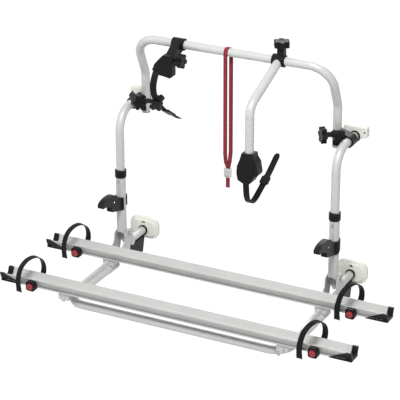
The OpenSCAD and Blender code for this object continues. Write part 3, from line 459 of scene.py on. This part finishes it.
finishes = {
    "alloy": drawn_aluminium("bar_aluminium", (ALONG, ACROSS, ACROSS)),
    # The rail finish carries painted shade in its groove and up its outer walls.
    "alloy_rail": drawn_aluminium("rail_aluminium", (ALONG, ACROSS, ACROSS), painted_shade=True),
    "alloy_upright": drawn_aluminium("upright_aluminium", (ACROSS, ACROSS, ALONG)),
    "alloy_arm": drawn_aluminium("arm_aluminium", (ACROSS, ALONG, ACROSS)),
    "steel": finish(
        "plated_steel", (0.5, 0.51, 0.52), (0.4, 0.41, 0.42), (0.75, 0.75, 0.74), metal=1.0,
        rough=(0.25, 0.4), bump=0.1, edge=0.0006, dust=0.05),
    "black_plastic": finish(
        "black_moulding", (0.011, 0.011, 0.0125), (0.006, 0.006, 0.007), (0.045, 0.045, 0.048),
        rough=(0.36, 0.5), grain=1100.0, bump=0.25, depth=0.00012, edge=0.0015, wear=0.3,
        dust=0.03, Specular_IOR_Level=0.14),
    "pad_plastic": finish(
        "cream_moulding", (0.9, 0.9, 0.83), (0.86, 0.86, 0.78), (0.95, 0.95, 0.9),
        rough=(0.38, 0.5), bump=0.12, depth=0.00012, edge=0.002, wear=0.3, dust=0.06),
    "grey_plastic": finish(
        "grey_moulding", (0.55, 0.57, 0.57), (0.48, 0.5, 0.5), (0.7, 0.71, 0.71),
        bump=0.12, depth=0.00012, wear=0.3, dust=0.06),
    "sleeve_rubber": finish(
        "sleeve_rubber", (0.016, 0.016, 0.018), (0.01, 0.01, 0.011), (0.04, 0.04, 0.04),
        rough=(0.65, 0.8), grain=700.0, bump=0.3, wear=0.3, dust=0.05, Specular_IOR_Level=0.2),
    "strap_rubber": finish(
        "strap_rubber", (0.01, 0.01, 0.0115), (0.006, 0.006, 0.007), (0.042, 0.042, 0.045),
        rough=(0.36, 0.5), grain=800.0, bump=0.2, edge=0.0008, wear=0.3, dust=0.03,
        Specular_IOR_Level=0.15),
    "red_plastic": finish(
        "red_button", (0.4, 0.009, 0.024), (0.33, 0.007, 0.02), (0.55, 0.05, 0.08),
        rough=(0.25, 0.35), bump=0.08, edge=0.0015, wear=0.3, dust=0.03, Coat_Weight=0.2),
    "buckle_metal": finish(
        "bright_buckle", (0.62, 0.63, 0.64), (0.5, 0.51, 0.52), (0.8, 0.8, 0.8), metal=1.0,
        rough=(0.16, 0.28), bump=0.06, edge=0.0008, dust=0.03),
}
print(len(finishes), "finishes")

# %% [markdown]
# Each CAD part names its material slot in the record, and the finish of that name goes on it.
# Aluminium parts that aren't drawn along X get the finish of their own direction. The security
# strap keeps a plain finish for now, as webbing takes its place later.

# %% Dress the CAD parts
DRAWN = {"rail": ("front_rail", "rear_rail"),
         "upright": ("lower_tube_left", "lower_tube_right", "upper_tube_left", "upper_tube_right",
                     "long_holder_arm"),
         "arm": ("arm_left", "arm_right", "platform_tube", "hinge_bracket_left",
                 "hinge_bracket_right")}
drawn_way = {node: way for way, nodes in DRAWN.items() for node in nodes}
for part in frame["record"]["subparts"]:
    node, slot = part["node"], part["material_slot"]
    if node in drawn_way:
        slot = "alloy_" + drawn_way[node]
    mesh = bpy.data.objects[node].data
    mesh.materials.clear()
    mesh.materials.append(finishes.get(slot, finishes["strap_rubber"]))
    mesh.polygons.foreach_set("material_index", [0] * len(mesh.polygons))

# %% [markdown]
# The screws that fix the pads to the wall aren't part of the rack, so the pads' holes stay empty.
# Their insides get painted shade. The faces inside a hole lie nearer to its axis than its rim
# does. That finds them, and they get the dark rubber finish as the pad's second material.

# %% Painted shade in the pads' holes
HOLES = {"lower_pad": (410 * MM, 0, 4.6 * MM), "upper_pad": (444 * MM, 504 * MM, 3.6 * MM)}
for pad, (across, height, radius) in HOLES.items():
    for side, sign in SIDES.items():
        mesh = bpy.data.objects[f"{pad}_{side}"].data
        # The dark rubber finish is painted shade inside the holes.
        mesh.materials.append(finishes["sleeve_rubber"])
        painted_shade_faces = [p for p in mesh.polygons
                 if math.hypot(p.center.x - sign * across, p.center.z - height) < radius]
        for polygon in painted_shade_faces:
            polygon.material_index = 1
        print(mesh.name, len(painted_shade_faces), "faces in the hole")

# %% [markdown]
# Straps follow a line that is drawn side-on, in (y, z). A few points that were read from the
# photograph are joined by a Catmull-Rom curve, which passes through each of them, so the soft
# pieces lie where the CAD bands lie. The short holder's strap is given in millimetres forward
# of the top bar and below it, and the long one's inward from its arm and below the bar. The
# wheel strap is given in shares of its reach and rise.

# %% Lines of the straps
BAR_Y, BAR_Z, LONG_Y = -132 * MM, 754 * MM, -354 * MM
WHEEL_REACH, WHEEL_RISE, CURVE_STEPS = 96 * MM, 76 * MM, 3


def smooth_line(points, steps=CURVE_STEPS):
    """A line through all points, with that many steps to each stretch."""
    line = []
    for i in range(len(points) - 1):
        a, b = Vector(points[max(i - 1, 0)]), Vector(points[i])
        c, d = Vector(points[i + 1]), Vector(points[min(i + 2, len(points) - 1)])
        for k in range(steps):
            t = k / steps
            square, cube = 2 * a - 5 * b + 4 * c - d, 3 * b - a - 3 * c + d
            line.append(0.5 * (2 * b + t * (c - a) + t * t * square + t ** 3 * cube))
    return line + [Vector(points[-1])]


def heading(line, i):
    """The direction of a line at one of its points."""
    return (line[min(i + 1, len(line) - 1)] - line[max(i - 1, 0)]).normalized()


def beside(line, distance):
    """The same line, moved sideways by a distance."""
    runs = [heading(line, i) for i in range(len(line))]
    return [point + distance * Vector((-run.y, run.x)) for point, run in zip(line, runs)]


SHORT_STRAP = smooth_line([(BAR_Y - forward * MM, BAR_Z - down * MM) for forward, down in (
    (68, 64), (88, 86), (104, 114), (106, 139), (96, 166), (78, 192), (44, 224), (-4, 258),
    (-48, 286), (-84, 308))])
LONG_STRAP = smooth_line([(LONG_Y + inward * MM, BAR_Z - down * MM) for inward, down in (
    (0, 350), (2, 379), (7, 409), (20, 432), (42, 444), (70, 442), (104, 427), (154, 402),
    (204, 373), (249, 344))])
WHEEL_STRAP = smooth_line([(reach * WHEEL_REACH, rise * WHEEL_RISE) for reach, rise in (
    (0, 0), (0.01, 0.25), (-0.05, 0.58), (-0.2, 0.86), (-0.46, 1), (-0.74, 0.88), (-0.93, 0.58),
    (-1, 0.2), (-1, -0.2), (-0.95, -0.5), (-0.91, -0.73))])
print("lines:", len(SHORT_STRAP), len(LONG_STRAP), len(WHEEL_STRAP), "points")

# %% [markdown]
# The straps that hold wheels and bicycle frames are ladder straps: round ribs cross them at an
# even pitch, half sunk in the band, and a pawl in the buckle drops between two ribs. Ribs
# repeat along a line, so Geometry Nodes make them: the line is resampled to the pitch, and one
# small lying cylinder is placed at each point and turned with the line. The same tree makes
# rows of stitches, with a thread in place of the rib.

# %% A tree that sets ribs along a line
RIB_SIDES, RIB_SIZES = 10, {"Pitch": 5 * MM, "Rib Width": 14 * MM, "Rib Radius": 1 * MM}


def ribs_tree():
    tree = bpy.data.node_groups.new("ribs_along_line", "GeometryNodeTree")
    tree.interface.new_socket("Line", in_out="INPUT", socket_type="NodeSocketGeometry")
    for label, value in RIB_SIZES.items():
        socket = tree.interface.new_socket(label, in_out="INPUT", socket_type=FLOAT)
        socket.default_value = value
    tree.interface.new_socket("Finish", in_out="INPUT", socket_type="NodeSocketMaterial")
    tree.interface.new_socket("Ribs", in_out="OUTPUT", socket_type="NodeSocketGeometry")
    given, even, rib, lay, face, run, place, real, dress, out = add_nodes(
        tree, "NodeGroupInput", "GeometryNodeResampleCurve", "GeometryNodeMeshCylinder",
        "GeometryNodeTransform", "FunctionNodeAlignRotationToVector", "GeometryNodeInputTangent",
        "GeometryNodeInstanceOnPoints", "GeometryNodeRealizeInstances", "GeometryNodeSetMaterial",
        "NodeGroupOutput")
    even.mode = "LENGTH"
    rib.inputs["Vertices"].default_value = RIB_SIDES
    lay.inputs["Rotation"].default_value = (0, math.radians(90), 0)
    face.axis, face.pivot_axis = "Y", "X"
    wire(tree, (given.outputs["Line"], even.inputs["Curve"]),
         (given.outputs["Pitch"], even.inputs["Length"]),
         (given.outputs["Rib Width"], rib.inputs["Depth"]),
         (given.outputs["Rib Radius"], rib.inputs["Radius"]),
         (rib.outputs["Mesh"], lay.inputs["Geometry"]), (run.outputs[0], face.inputs["Vector"]),
         (even.outputs["Curve"], place.inputs["Points"]),
         (lay.outputs["Geometry"], place.inputs["Instance"]),
         (face.outputs["Rotation"], place.inputs["Rotation"]),
         (place.outputs["Instances"], real.inputs["Geometry"]),
         (real.outputs["Geometry"], dress.inputs["Geometry"]),
         (given.outputs["Finish"], dress.inputs["Material"]),
         (dress.outputs["Geometry"], out.inputs["Ribs"]))
    return tree


RIBS = ribs_tree()
print("tree:", RIBS.name, "with", len(RIBS.nodes), "nodes")

# %% [markdown]
# The tree works as a modifier on a curve. Its inputs are set by their identifiers, and the
# evaluated curve is read back as a plain mesh. The curve is only a guide and is thrown away.

# %% Ribs as a plain mesh
def new_piece(name, mesh):
    piece = bpy.data.objects.new(name, mesh)
    scene.collection.objects.link(piece)
    return piece


def ribs_piece(name, line, pitch, width, radius, finish_name, matrix=Matrix.Identity(4)):
    """A plain mesh of ribs along a line in (y, z), moved by a matrix."""
    curve = bpy.data.curves.new(name + "_line", "CURVE")
    curve.dimensions = "3D"
    spline = curve.splines.new("POLY")
    spline.points.add(len(line) - 1)
    for point, (y, z) in zip(spline.points, line):
        point.co = (0, y, z, 1)
    guide = new_piece(name + "_guide", curve)
    sockets = {item.name: item.identifier for item in RIBS.interface.items_tree
               if item.in_out == "INPUT"}
    modifier = guide.modifiers.new("ribs", "NODES")
    modifier.node_group = RIBS
    for label, value in (("Pitch", pitch), ("Rib Width", width), ("Rib Radius", radius),
                         ("Finish", finishes[finish_name])):
        modifier[sockets[label]] = value
    bpy.context.view_layer.update()
    grown = guide.evaluated_get(bpy.context.evaluated_depsgraph_get())
    mesh = bpy.data.meshes.new_from_object(grown)
    mesh.transform(matrix)
    mesh.shade_smooth()
    bpy.data.objects.remove(guide)
    return new_piece(name, mesh)


print("inputs:", ", ".join(RIB_SIZES))

# %% [markdown]
# A moulded strap is no plain ribbon. Its two borders stand up as beads, and the ribs lie in the
# trough between them. Webbing has rounded selvedges, and the sleeve on a tail is a flat box with
# rounded corners. So each of them has a section, drawn from -1 to 1 across its width and its
# thickness.

# %% Sections of the bands
def mirrored(right_half):
    """A closed outline that starts at the bottom left, from its right half."""
    left_half = [(-u, v) for u, v in reversed(right_half)]
    return left_half[-1:] + right_half + left_half[:-1]


LADDER = mirrored([(0.86, -1), (0.96, -0.85), (1, -0.5), (1, 0.5), (0.96, 0.85), (0.9, 1), (0.8, 1),
                   (0.74, 0.8), (0.7, 0.3)])
SLEEVE = mirrored([(0.8, -1), (0.94, -0.9), (1, -0.6), (1, 0.6), (0.94, 0.9), (0.8, 1)])
WOVEN = [(-1, -0.25), (-0.94, -0.8), (-0.7, -1), (0, -1), (0.7, -1), (0.94, -0.8),
         (1, -0.25), (1, 0.25), (0.94, 0.8), (0.7, 1), (0, 1), (-0.7, 1), (-0.94, 0.8), (-1, 0.25)]
print("sections:", len(LADDER), len(SLEEVE), len(WOVEN), "corners")

# %% [markdown]
# A band is a closed mesh: its section is carried along its line, and near the free end it
# narrows to a rounded tip. The band's UV map runs along it in metres and across it from -1 to
# 1, for finishes that follow it.

# %% A band along a line
TIP_NARROWS, SHARP_EDGE, TINY = 0.55, math.radians(40), 1e-9


def lengths_along(line):
    lengths = [0.0]
    for a, b in zip(line, line[1:]):
        lengths.append(lengths[-1] + (b - a).length)
    return lengths


def even_line(line, pitch):
    """The same line with points at an even pitch."""
    lengths = lengths_along(line)
    count = max(2, round(lengths[-1] / pitch))
    made, k = [], 0
    for i in range(count + 1):
        reach = lengths[-1] * i / count
        while k < len(line) - 2 and lengths[k + 1] < reach:
            k += 1
        part = (reach - lengths[k]) / max(lengths[k + 1] - lengths[k], TINY)
        made.append(line[k].lerp(line[k + 1], min(part, 1.0)))
    return made


def band_piece(name, line, x, half, thick, section, side=1, tip=0.0, finish_name="strap_rubber",
               matrix=Matrix.Identity(4)):
    """A closed band along a line in (y, z), its section's top on that side of the line."""
    along, ring, verts = lengths_along(line), len(section), []
    for i, point in enumerate(line):
        run = heading(line, i)
        left = along[-1] - along[i]
        wide = half * (1 - TIP_NARROWS * (1 - min(left / tip, 1)) ** 2) if tip else half
        for u, v in section:
            rise = side * v * thick / 2
            verts.append((x + u * wide, point.x - run.y * rise, point.y + run.x * rise))
    starts = [(i * ring + k, i * ring + (k + 1) % ring)
              for i in range(len(line) - 1) for k in range(ring)]
    faces = [(a, b, b + ring, a + ring) for a, b in starts]
    faces.append(tuple(range(ring)))
    faces.append(tuple(reversed(range((len(line) - 1) * ring, len(line) * ring))))
    if side < 0:
        faces = [tuple(reversed(face)) for face in faces]
    mesh = bpy.data.meshes.new(name)
    mesh.from_pydata(verts, [], faces)
    uv = mesh.uv_layers.new(name="weave")
    for loop in mesh.loops:
        step, k = divmod(loop.vertex_index, ring)
        uv.data[loop.index].uv = (along[step], section[k][0])
    mesh.transform(matrix)
    mesh.shade_smooth()
    mesh.set_sharp_from_angle(angle=SHARP_EDGE)
    mesh.validate()
    mesh.materials.append(finishes[finish_name])
    return new_piece(name, mesh)


print("short strap:", round(lengths_along(SHORT_STRAP)[-1] / MM), "mm long")

# %% [markdown]
# Small round pieces are turned like wood on a lathe: an outline of (x, radius) in millimetres is
# carried once round the x axis. One outline is the barrel-shaped eye of a wheel strap, the other
# a screw's low head with its socket.

# %% Turned pieces
BARREL = [(-9, 0), (-9, 2.2), (-8.7, 2.75), (-8.1, 3), (8.1, 3), (8.7, 2.75), (9, 2.2), (9, 0)]
HEAD = [(0, 0), (0, 3.3), (0.6, 3.3), (1.3, 3), (1.8, 2.2), (1.9, 1.7), (1, 1.6), (1, 0)]
LATHE_STEPS, WELD = 28, 1e-6


def turned_piece(name, outline, finish_name, matrix):
    """A closed piece of revolution about the x axis, moved by a matrix."""
    made = bmesh.new()
    corners = [made.verts.new((x * MM, radius * MM, 0)) for x, radius in outline]
    edges = [made.edges.new(pair) for pair in zip(corners, corners[1:])]
    bmesh.ops.spin(made, geom=corners + edges, cent=(0, 0, 0), axis=(1, 0, 0), angle=math.tau,
                   steps=LATHE_STEPS, use_merge=True)
    bmesh.ops.remove_doubles(made, verts=made.verts, dist=WELD)
    bmesh.ops.recalc_face_normals(made, faces=made.faces)
    mesh = bpy.data.meshes.new(name)
    made.to_mesh(mesh)
    made.free()
    mesh.transform(matrix)
    mesh.shade_smooth()
    mesh.set_sharp_from_angle(angle=SHARP_EDGE)
    mesh.materials.append(finishes[finish_name])
    return new_piece(name, mesh)


print("outlines:", len(BARREL), "and", len(HEAD), "points")

# %% [markdown]
# A bright screw goes through each hook, with its head on the outer side and its nut on the
# inner one. One more, a size larger, looks forward from the short holder's clamp. Each
# head is sunk a little into the plastic, so that no gap shows.

# %% Screw heads
HOOK_X, HOOK_HALF = 410 * MM, 11 * MM
HOOK_SCREW_Y, HOOK_SCREW_Z = -244.5 * MM, 171 * MM
HEAD_SINK, NUT_SINK = 1.5 * MM, 0.3 * MM
CLAMP_SCREW, CLAMP_SCREW_SIZE = (-196 * MM, -153.5 * MM, 749 * MM), 1.4

for side, sign in SIDES.items():
    for end, out, sink in (("head", sign, HEAD_SINK), ("nut", -sign, NUT_SINK)):
        turn = Matrix.Identity(4) if out > 0 else Matrix.Rotation(math.pi, 4, "Z")
        x = sign * HOOK_X + out * (HOOK_HALF - sink)
        spot = Matrix.Translation((x, HOOK_SCREW_Y, HOOK_SCREW_Z))
        head = turned_piece(f"hook_screw_{end}_{side}", HEAD, "buckle_metal", spot @ turn)
        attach(head, "hook_" + side)
turn = Matrix.Rotation(math.radians(-90), 4, "Z") @ Matrix.Scale(CLAMP_SCREW_SIZE, 4)
spot = Matrix.Translation(CLAMP_SCREW)
head = turned_piece("short_clamp_screw", HEAD, "buckle_metal", spot @ turn)
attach(head, "short_holder")
print("five screw heads")

# %% [markdown]
# Each wheel strap turns about a pin behind the rail. It leans outwards by 30 degrees and tilts
# by 9, so the strap and its ribs are made flat in its own plane first and then turned with it
# about its pin. The strap also twists by 60 degrees along its length, so both its ends lie flat
# along the rail and its top is seen nearly edge-on, as in the photograph. The eye round the pin
# is a short barrel with rounded ends.

# %% Wheel straps
RAILS = {"front": -565 * MM, "rear": -262 * MM}
PIN_OUT, PIN_RIGHT, PIN_IN, PIN_Z = 528 * MM, 6 * MM, 34.3 * MM, -9 * MM
WHEEL_HALF, STRAP_THICK, WHEEL_RIBS, WHEEL_PITCH = 10.5 * MM, 3 * MM, 14.6 * MM, 4.6 * MM
RIB_RADIUS, RIB_SINK, WHEEL_RIBBED = 0.95 * MM, 0.5 * MM, slice(5, -2)
TWIST = math.radians(-30)
lean = Matrix.Rotation(math.radians(9), 4, "Y") @ Matrix.Rotation(math.radians(-30), 4, "Z")


def twist(piece, line, turn, matrix):
    """Turns a flat piece about its line, by +turn at the start to -turn at the end."""
    for vertex in piece.data.vertices:
        flat = Vector(vertex.co[1:])
        nearest = min(range(len(line)), key=lambda i: (line[i] - flat).length_squared)
        run = heading(line, nearest)
        rise = (flat - line[nearest]).dot(Vector((-run.y, run.x)))
        angle = turn * (1 - 2 * nearest / (len(line) - 1))
        across = vertex.co.x * math.cos(angle) - rise * math.sin(angle)
        lift = vertex.co.x * math.sin(angle) + rise * math.cos(angle) - rise
        vertex.co = (across, flat.x - run.y * lift, flat.y + run.x * lift)
    piece.data.transform(matrix)


wheel_line, fine_line = even_line(WHEEL_STRAP, 3 * MM), even_line(WHEEL_STRAP, 0.5 * MM)
ribs_line = beside(WHEEL_STRAP, -RIB_SINK)[WHEEL_RIBBED]
for row, rail_y in RAILS.items():
    for side, sign in SIDES.items():
        pin = Matrix.Translation((sign * PIN_OUT + PIN_RIGHT, rail_y + PIN_IN, PIN_Z))
        band = band_piece(f"{row}_strap_band_{side}", wheel_line, 0, WHEEL_HALF, STRAP_THICK,
                          LADDER, -1)
        ribs = ribs_piece(f"{row}_strap_ribs_{side}", ribs_line, WHEEL_PITCH, WHEEL_RIBS,
                          RIB_RADIUS, "strap_rubber")
        for piece in (band, ribs):
            twist(piece, fine_line, TWIST, pin @ lean)
        eye = turned_piece(f"{row}_strap_eye_{side}", BARREL, "strap_rubber", pin)
        for piece in (band, ribs, eye):
            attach(piece, f"{row}_strap_{side}")
        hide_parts(f"{row}_strap_{side}")
print("wheel straps:", len(wheel_line), "points along each")

# %% [markdown]
# The two holders' straps are the same kind of strap, 25 and 22 mm wide. Their free ends narrow
# to a tip. Their ribs start a little way from the buckle and leave the tip bare.

# %% Holders' straps
SHORT_X, SHORT_HALF, LONG_X, LONG_HALF = -240 * MM, 12.5 * MM, 166 * MM, 11 * MM
BAND_PITCH, TIP_LENGTH, RIB_PITCH = 4 * MM, 16 * MM, 6 * MM
RIB_SHARE, HOLDER_RIBBED = 1.38, slice(3, -1)
STRAPS = {"short": (SHORT_STRAP, SHORT_X, SHORT_HALF, -1),
          "long": (LONG_STRAP, LONG_X, LONG_HALF, 1)}

for name, (line, across, half, side) in STRAPS.items():
    band = band_piece(name + "_strap_band", even_line(line, BAND_PITCH), across, half, STRAP_THICK,
                      LADDER, side, tip=TIP_LENGTH)
    ribs_line = beside(line[HOLDER_RIBBED], side * RIB_SINK)
    ribs = ribs_piece(name + "_strap_ribs", ribs_line, RIB_PITCH, RIB_SHARE * half, RIB_RADIUS,
                      "strap_rubber", Matrix.Translation((across, 0, 0)))
    for piece in (band, ribs):
        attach(piece, name + "_holder")
    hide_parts(name + "_holder_strap")
    print(name, "strap:", len(band.data.polygons), "faces")

# %% [markdown]
# The short strap's tail lies in a sleeve, which keeps it from flapping. It is a band with a
# thicker section, carried along the same line between two places in y.

# %% Sleeve on the short strap
SLEEVE_FRONT, SLEEVE_BACK = -154 * MM, -104 * MM
SLEEVE_HALF, SLEEVE_THICK = 15 * MM, 8 * MM

tail = [point for point in even_line(SHORT_STRAP, BAND_PITCH)
        if SLEEVE_FRONT < point.x < SLEEVE_BACK]
sleeve = band_piece("short_strap_sleeve", tail, SHORT_X, SLEEVE_HALF, SLEEVE_THICK, SLEEVE,
                    finish_name="black_plastic")
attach(sleeve, "short_holder")
print("sleeve on the tail,", round((tail[-1] - tail[0]).length / MM), "mm long")

# %% [markdown]
# The security strap is woven tape with a pale stripe woven down its middle. The CAD band is
# replaced by a tape with rounded selvedges. Its UV map runs along the tape in metres and
# across it from -1 to 1, so the weave and the stripe follow the tape round the top bar. The tape
# goes over the bar a little askew, so its rear strand hangs beside the front one: a shear does
# it. The line starts at the tail, below the buckle, and ends on itself just above the buckle.

# %% Webbing of the security strap
RED_X, TAPE_HALF, TAPE_THICK, ASKEW = -10 * MM, 7.5 * MM, 1.6 * MM, 0.17
BAR_RADIUS, TAPE_GAP = 15 * MM, 0.15 * MM
TAIL, KNEE, SPLIT, STRANDS = (493, 470, 454, 420), 398, 364, range(50, 340, 40)
KNEE_SHARE, END_BACK, END_DOWN, ARC_STEP = 0.7, 1.9 * MM, 419.7, 10


def below_bar(back, down):
    """A point that far behind the bar's axis, in metres, and below it, in millimetres."""
    return Vector((BAR_Y + back, BAR_Z - down * MM))


over = BAR_RADIUS + TAPE_GAP + TAPE_THICK / 2
round_bar = [math.radians(angle) for angle in range(180, -1, -ARC_STEP)]
tape_line = [below_bar(0, down) for down in TAIL]
tape_line += [below_bar(-KNEE_SHARE * over, KNEE), below_bar(-over, SPLIT)]
tape_line += [below_bar(-over, down) for down in reversed(STRANDS)]
tape_line += [Vector((BAR_Y + over * math.cos(a), BAR_Z + over * math.sin(a))) for a in round_bar]
tape_line += [below_bar(over, down) for down in STRANDS]
tape_line += [below_bar(over, SPLIT), below_bar(KNEE_SHARE * over, KNEE)]
tape_line += [below_bar(END_BACK, END_DOWN)]
askew = Matrix.Translation((-ASKEW * BAR_Y, 0, 0)) @ Matrix.Shear("XZ", 4, (ASKEW, 0))
webbing = band_piece("security_webbing", tape_line, RED_X, TAPE_HALF, TAPE_THICK, WOVEN,
                     matrix=askew)
print("webbing is", round(lengths_along(tape_line)[-1], 3), "m long")

# %% [markdown]
# The weave is drawn on the tape's own UV map: a herringbone of slanted threads that changes
# side at each column. A stripe down the tape's middle is woven in a pale yarn, with soft edges.
# Height from the same threads feeds a Bump node.

# %% Webbing's finish
COLUMNS, THREADS, SLANT = 7.0, 900.0, 1.4
STRIPE_HALF, STRIPE_EDGE, SOIL_COLOUR, SOIL = 0.36, 8.0, (0.1, 0.02, 0.03), 0.16


def herringbone_group():
    made, given, put = group("herringbone", {"Columns": COLUMNS, "Threads": THREADS},
                             {"Thread": FLOAT, "Across": FLOAT})
    uv, apart = add_nodes(made, "ShaderNodeUVMap", "ShaderNodeSeparateXYZ")
    uv.uv_map = "weave"
    wire(made, (uv.outputs[0], apart.inputs[0]))
    columns = math_node(made, "MULTIPLY", apart.outputs["Y"], given.outputs["Columns"])
    shift = math_node(made, "MULTIPLY", math_node(made, "PINGPONG", columns, 1.0), SLANT)
    threads = math_node(made, "MULTIPLY", apart.outputs["X"], given.outputs["Threads"])
    thread = math_node(made, "PINGPONG", math_node(made, "ADD", threads, shift), 1.0)
    across = math_node(made, "ABSOLUTE", apart.outputs["Y"])
    wire(made, (thread, put.inputs["Thread"]), (across, put.inputs["Across"]))
    return made


def webbing_finish():
    material = bpy.data.materials.new("red_webbing")
    tree = new_nodes(material)
    out, skin, relief = add_nodes(
        tree, "ShaderNodeOutputMaterial", "ShaderNodeBsdfPrincipled", "ShaderNodeBump")
    weave = place_group(tree, herringbone_group(), Columns=COLUMNS, Threads=THREADS)
    grit = place_group(tree, fine_grain, Scale=2500.0, Blotch_Scale=40.0)
    fall = place_group(tree, settled_dust, Amount=0.05)
    red = mix_colour(tree, weave.outputs["Thread"], (0.15, 0.003, 0.01), (0.27, 0.005, 0.02))
    yarn = mix_colour(tree, weave.outputs["Thread"], (0.3, 0.018, 0.036), (0.48, 0.04, 0.07))
    inside = math_node(tree, "SUBTRACT", STRIPE_HALF, weave.outputs["Across"])
    base = mix_colour(tree, math_node(tree, "MULTIPLY", inside, STRIPE_EDGE, clamp=True), red, yarn)
    base = mix_colour(tree, spread(tree, grit.outputs["Blotch"], 0.0, SOIL), base, SOIL_COLOUR)
    base = mix_colour(tree, fall.outputs["Mask"], base, DUST_COLOUR)
    skin.inputs["Sheen Weight"].default_value = 0.05
    relief.inputs["Strength"].default_value = 0.6
    relief.inputs["Distance"].default_value = 0.0003
    wire(tree, (base, skin.inputs["Base Color"]),
         (spread(tree, grit.outputs["Height"], 0.75, 0.95), skin.inputs["Roughness"]),
         (weave.outputs["Thread"], relief.inputs["Height"]),
         (relief.outputs[0], skin.inputs["Normal"]), (skin.outputs[0], out.inputs["Surface"]))
    return material


finishes["red_webbing"] = webbing_finish()
webbing.data.materials[0] = finishes["red_webbing"]
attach(webbing, "security")
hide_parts("security_strap")
print("webbing dressed")

# %% [markdown]
# The tape's rear end is sewn to the front strand above the buckle. Three rows of stitches lie on
# it, made by the ribs' tree with a short thread in place of a rib.

# %% Stitches that close the strap's loop
SEWN_DOWN, SEWN_POINTS, STITCH_LIFT = 385, 3, 0.85 * MM
STITCH_PITCH, STITCH_LENGTH, STITCH_RADIUS = 2.4 * MM, 1 * MM, 0.35 * MM

low_points = [point for point in beside(tape_line, STITCH_LIFT) if point.y < BAR_Z - SEWN_DOWN * MM]
for index, offset in enumerate((-4.5 * MM, 0, 4.5 * MM)):
    stitches = ribs_piece(f"loop_stitches_{index + 1}", low_points[-SEWN_POINTS:], STITCH_PITCH,
                          STITCH_LENGTH, STITCH_RADIUS, "red_plastic",
                          Matrix.Translation((RED_X + offset, 0, 0)))
    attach(stitches, "security")
print("stitches on the strap's loop")

# %% Finish
print("scene dressed")
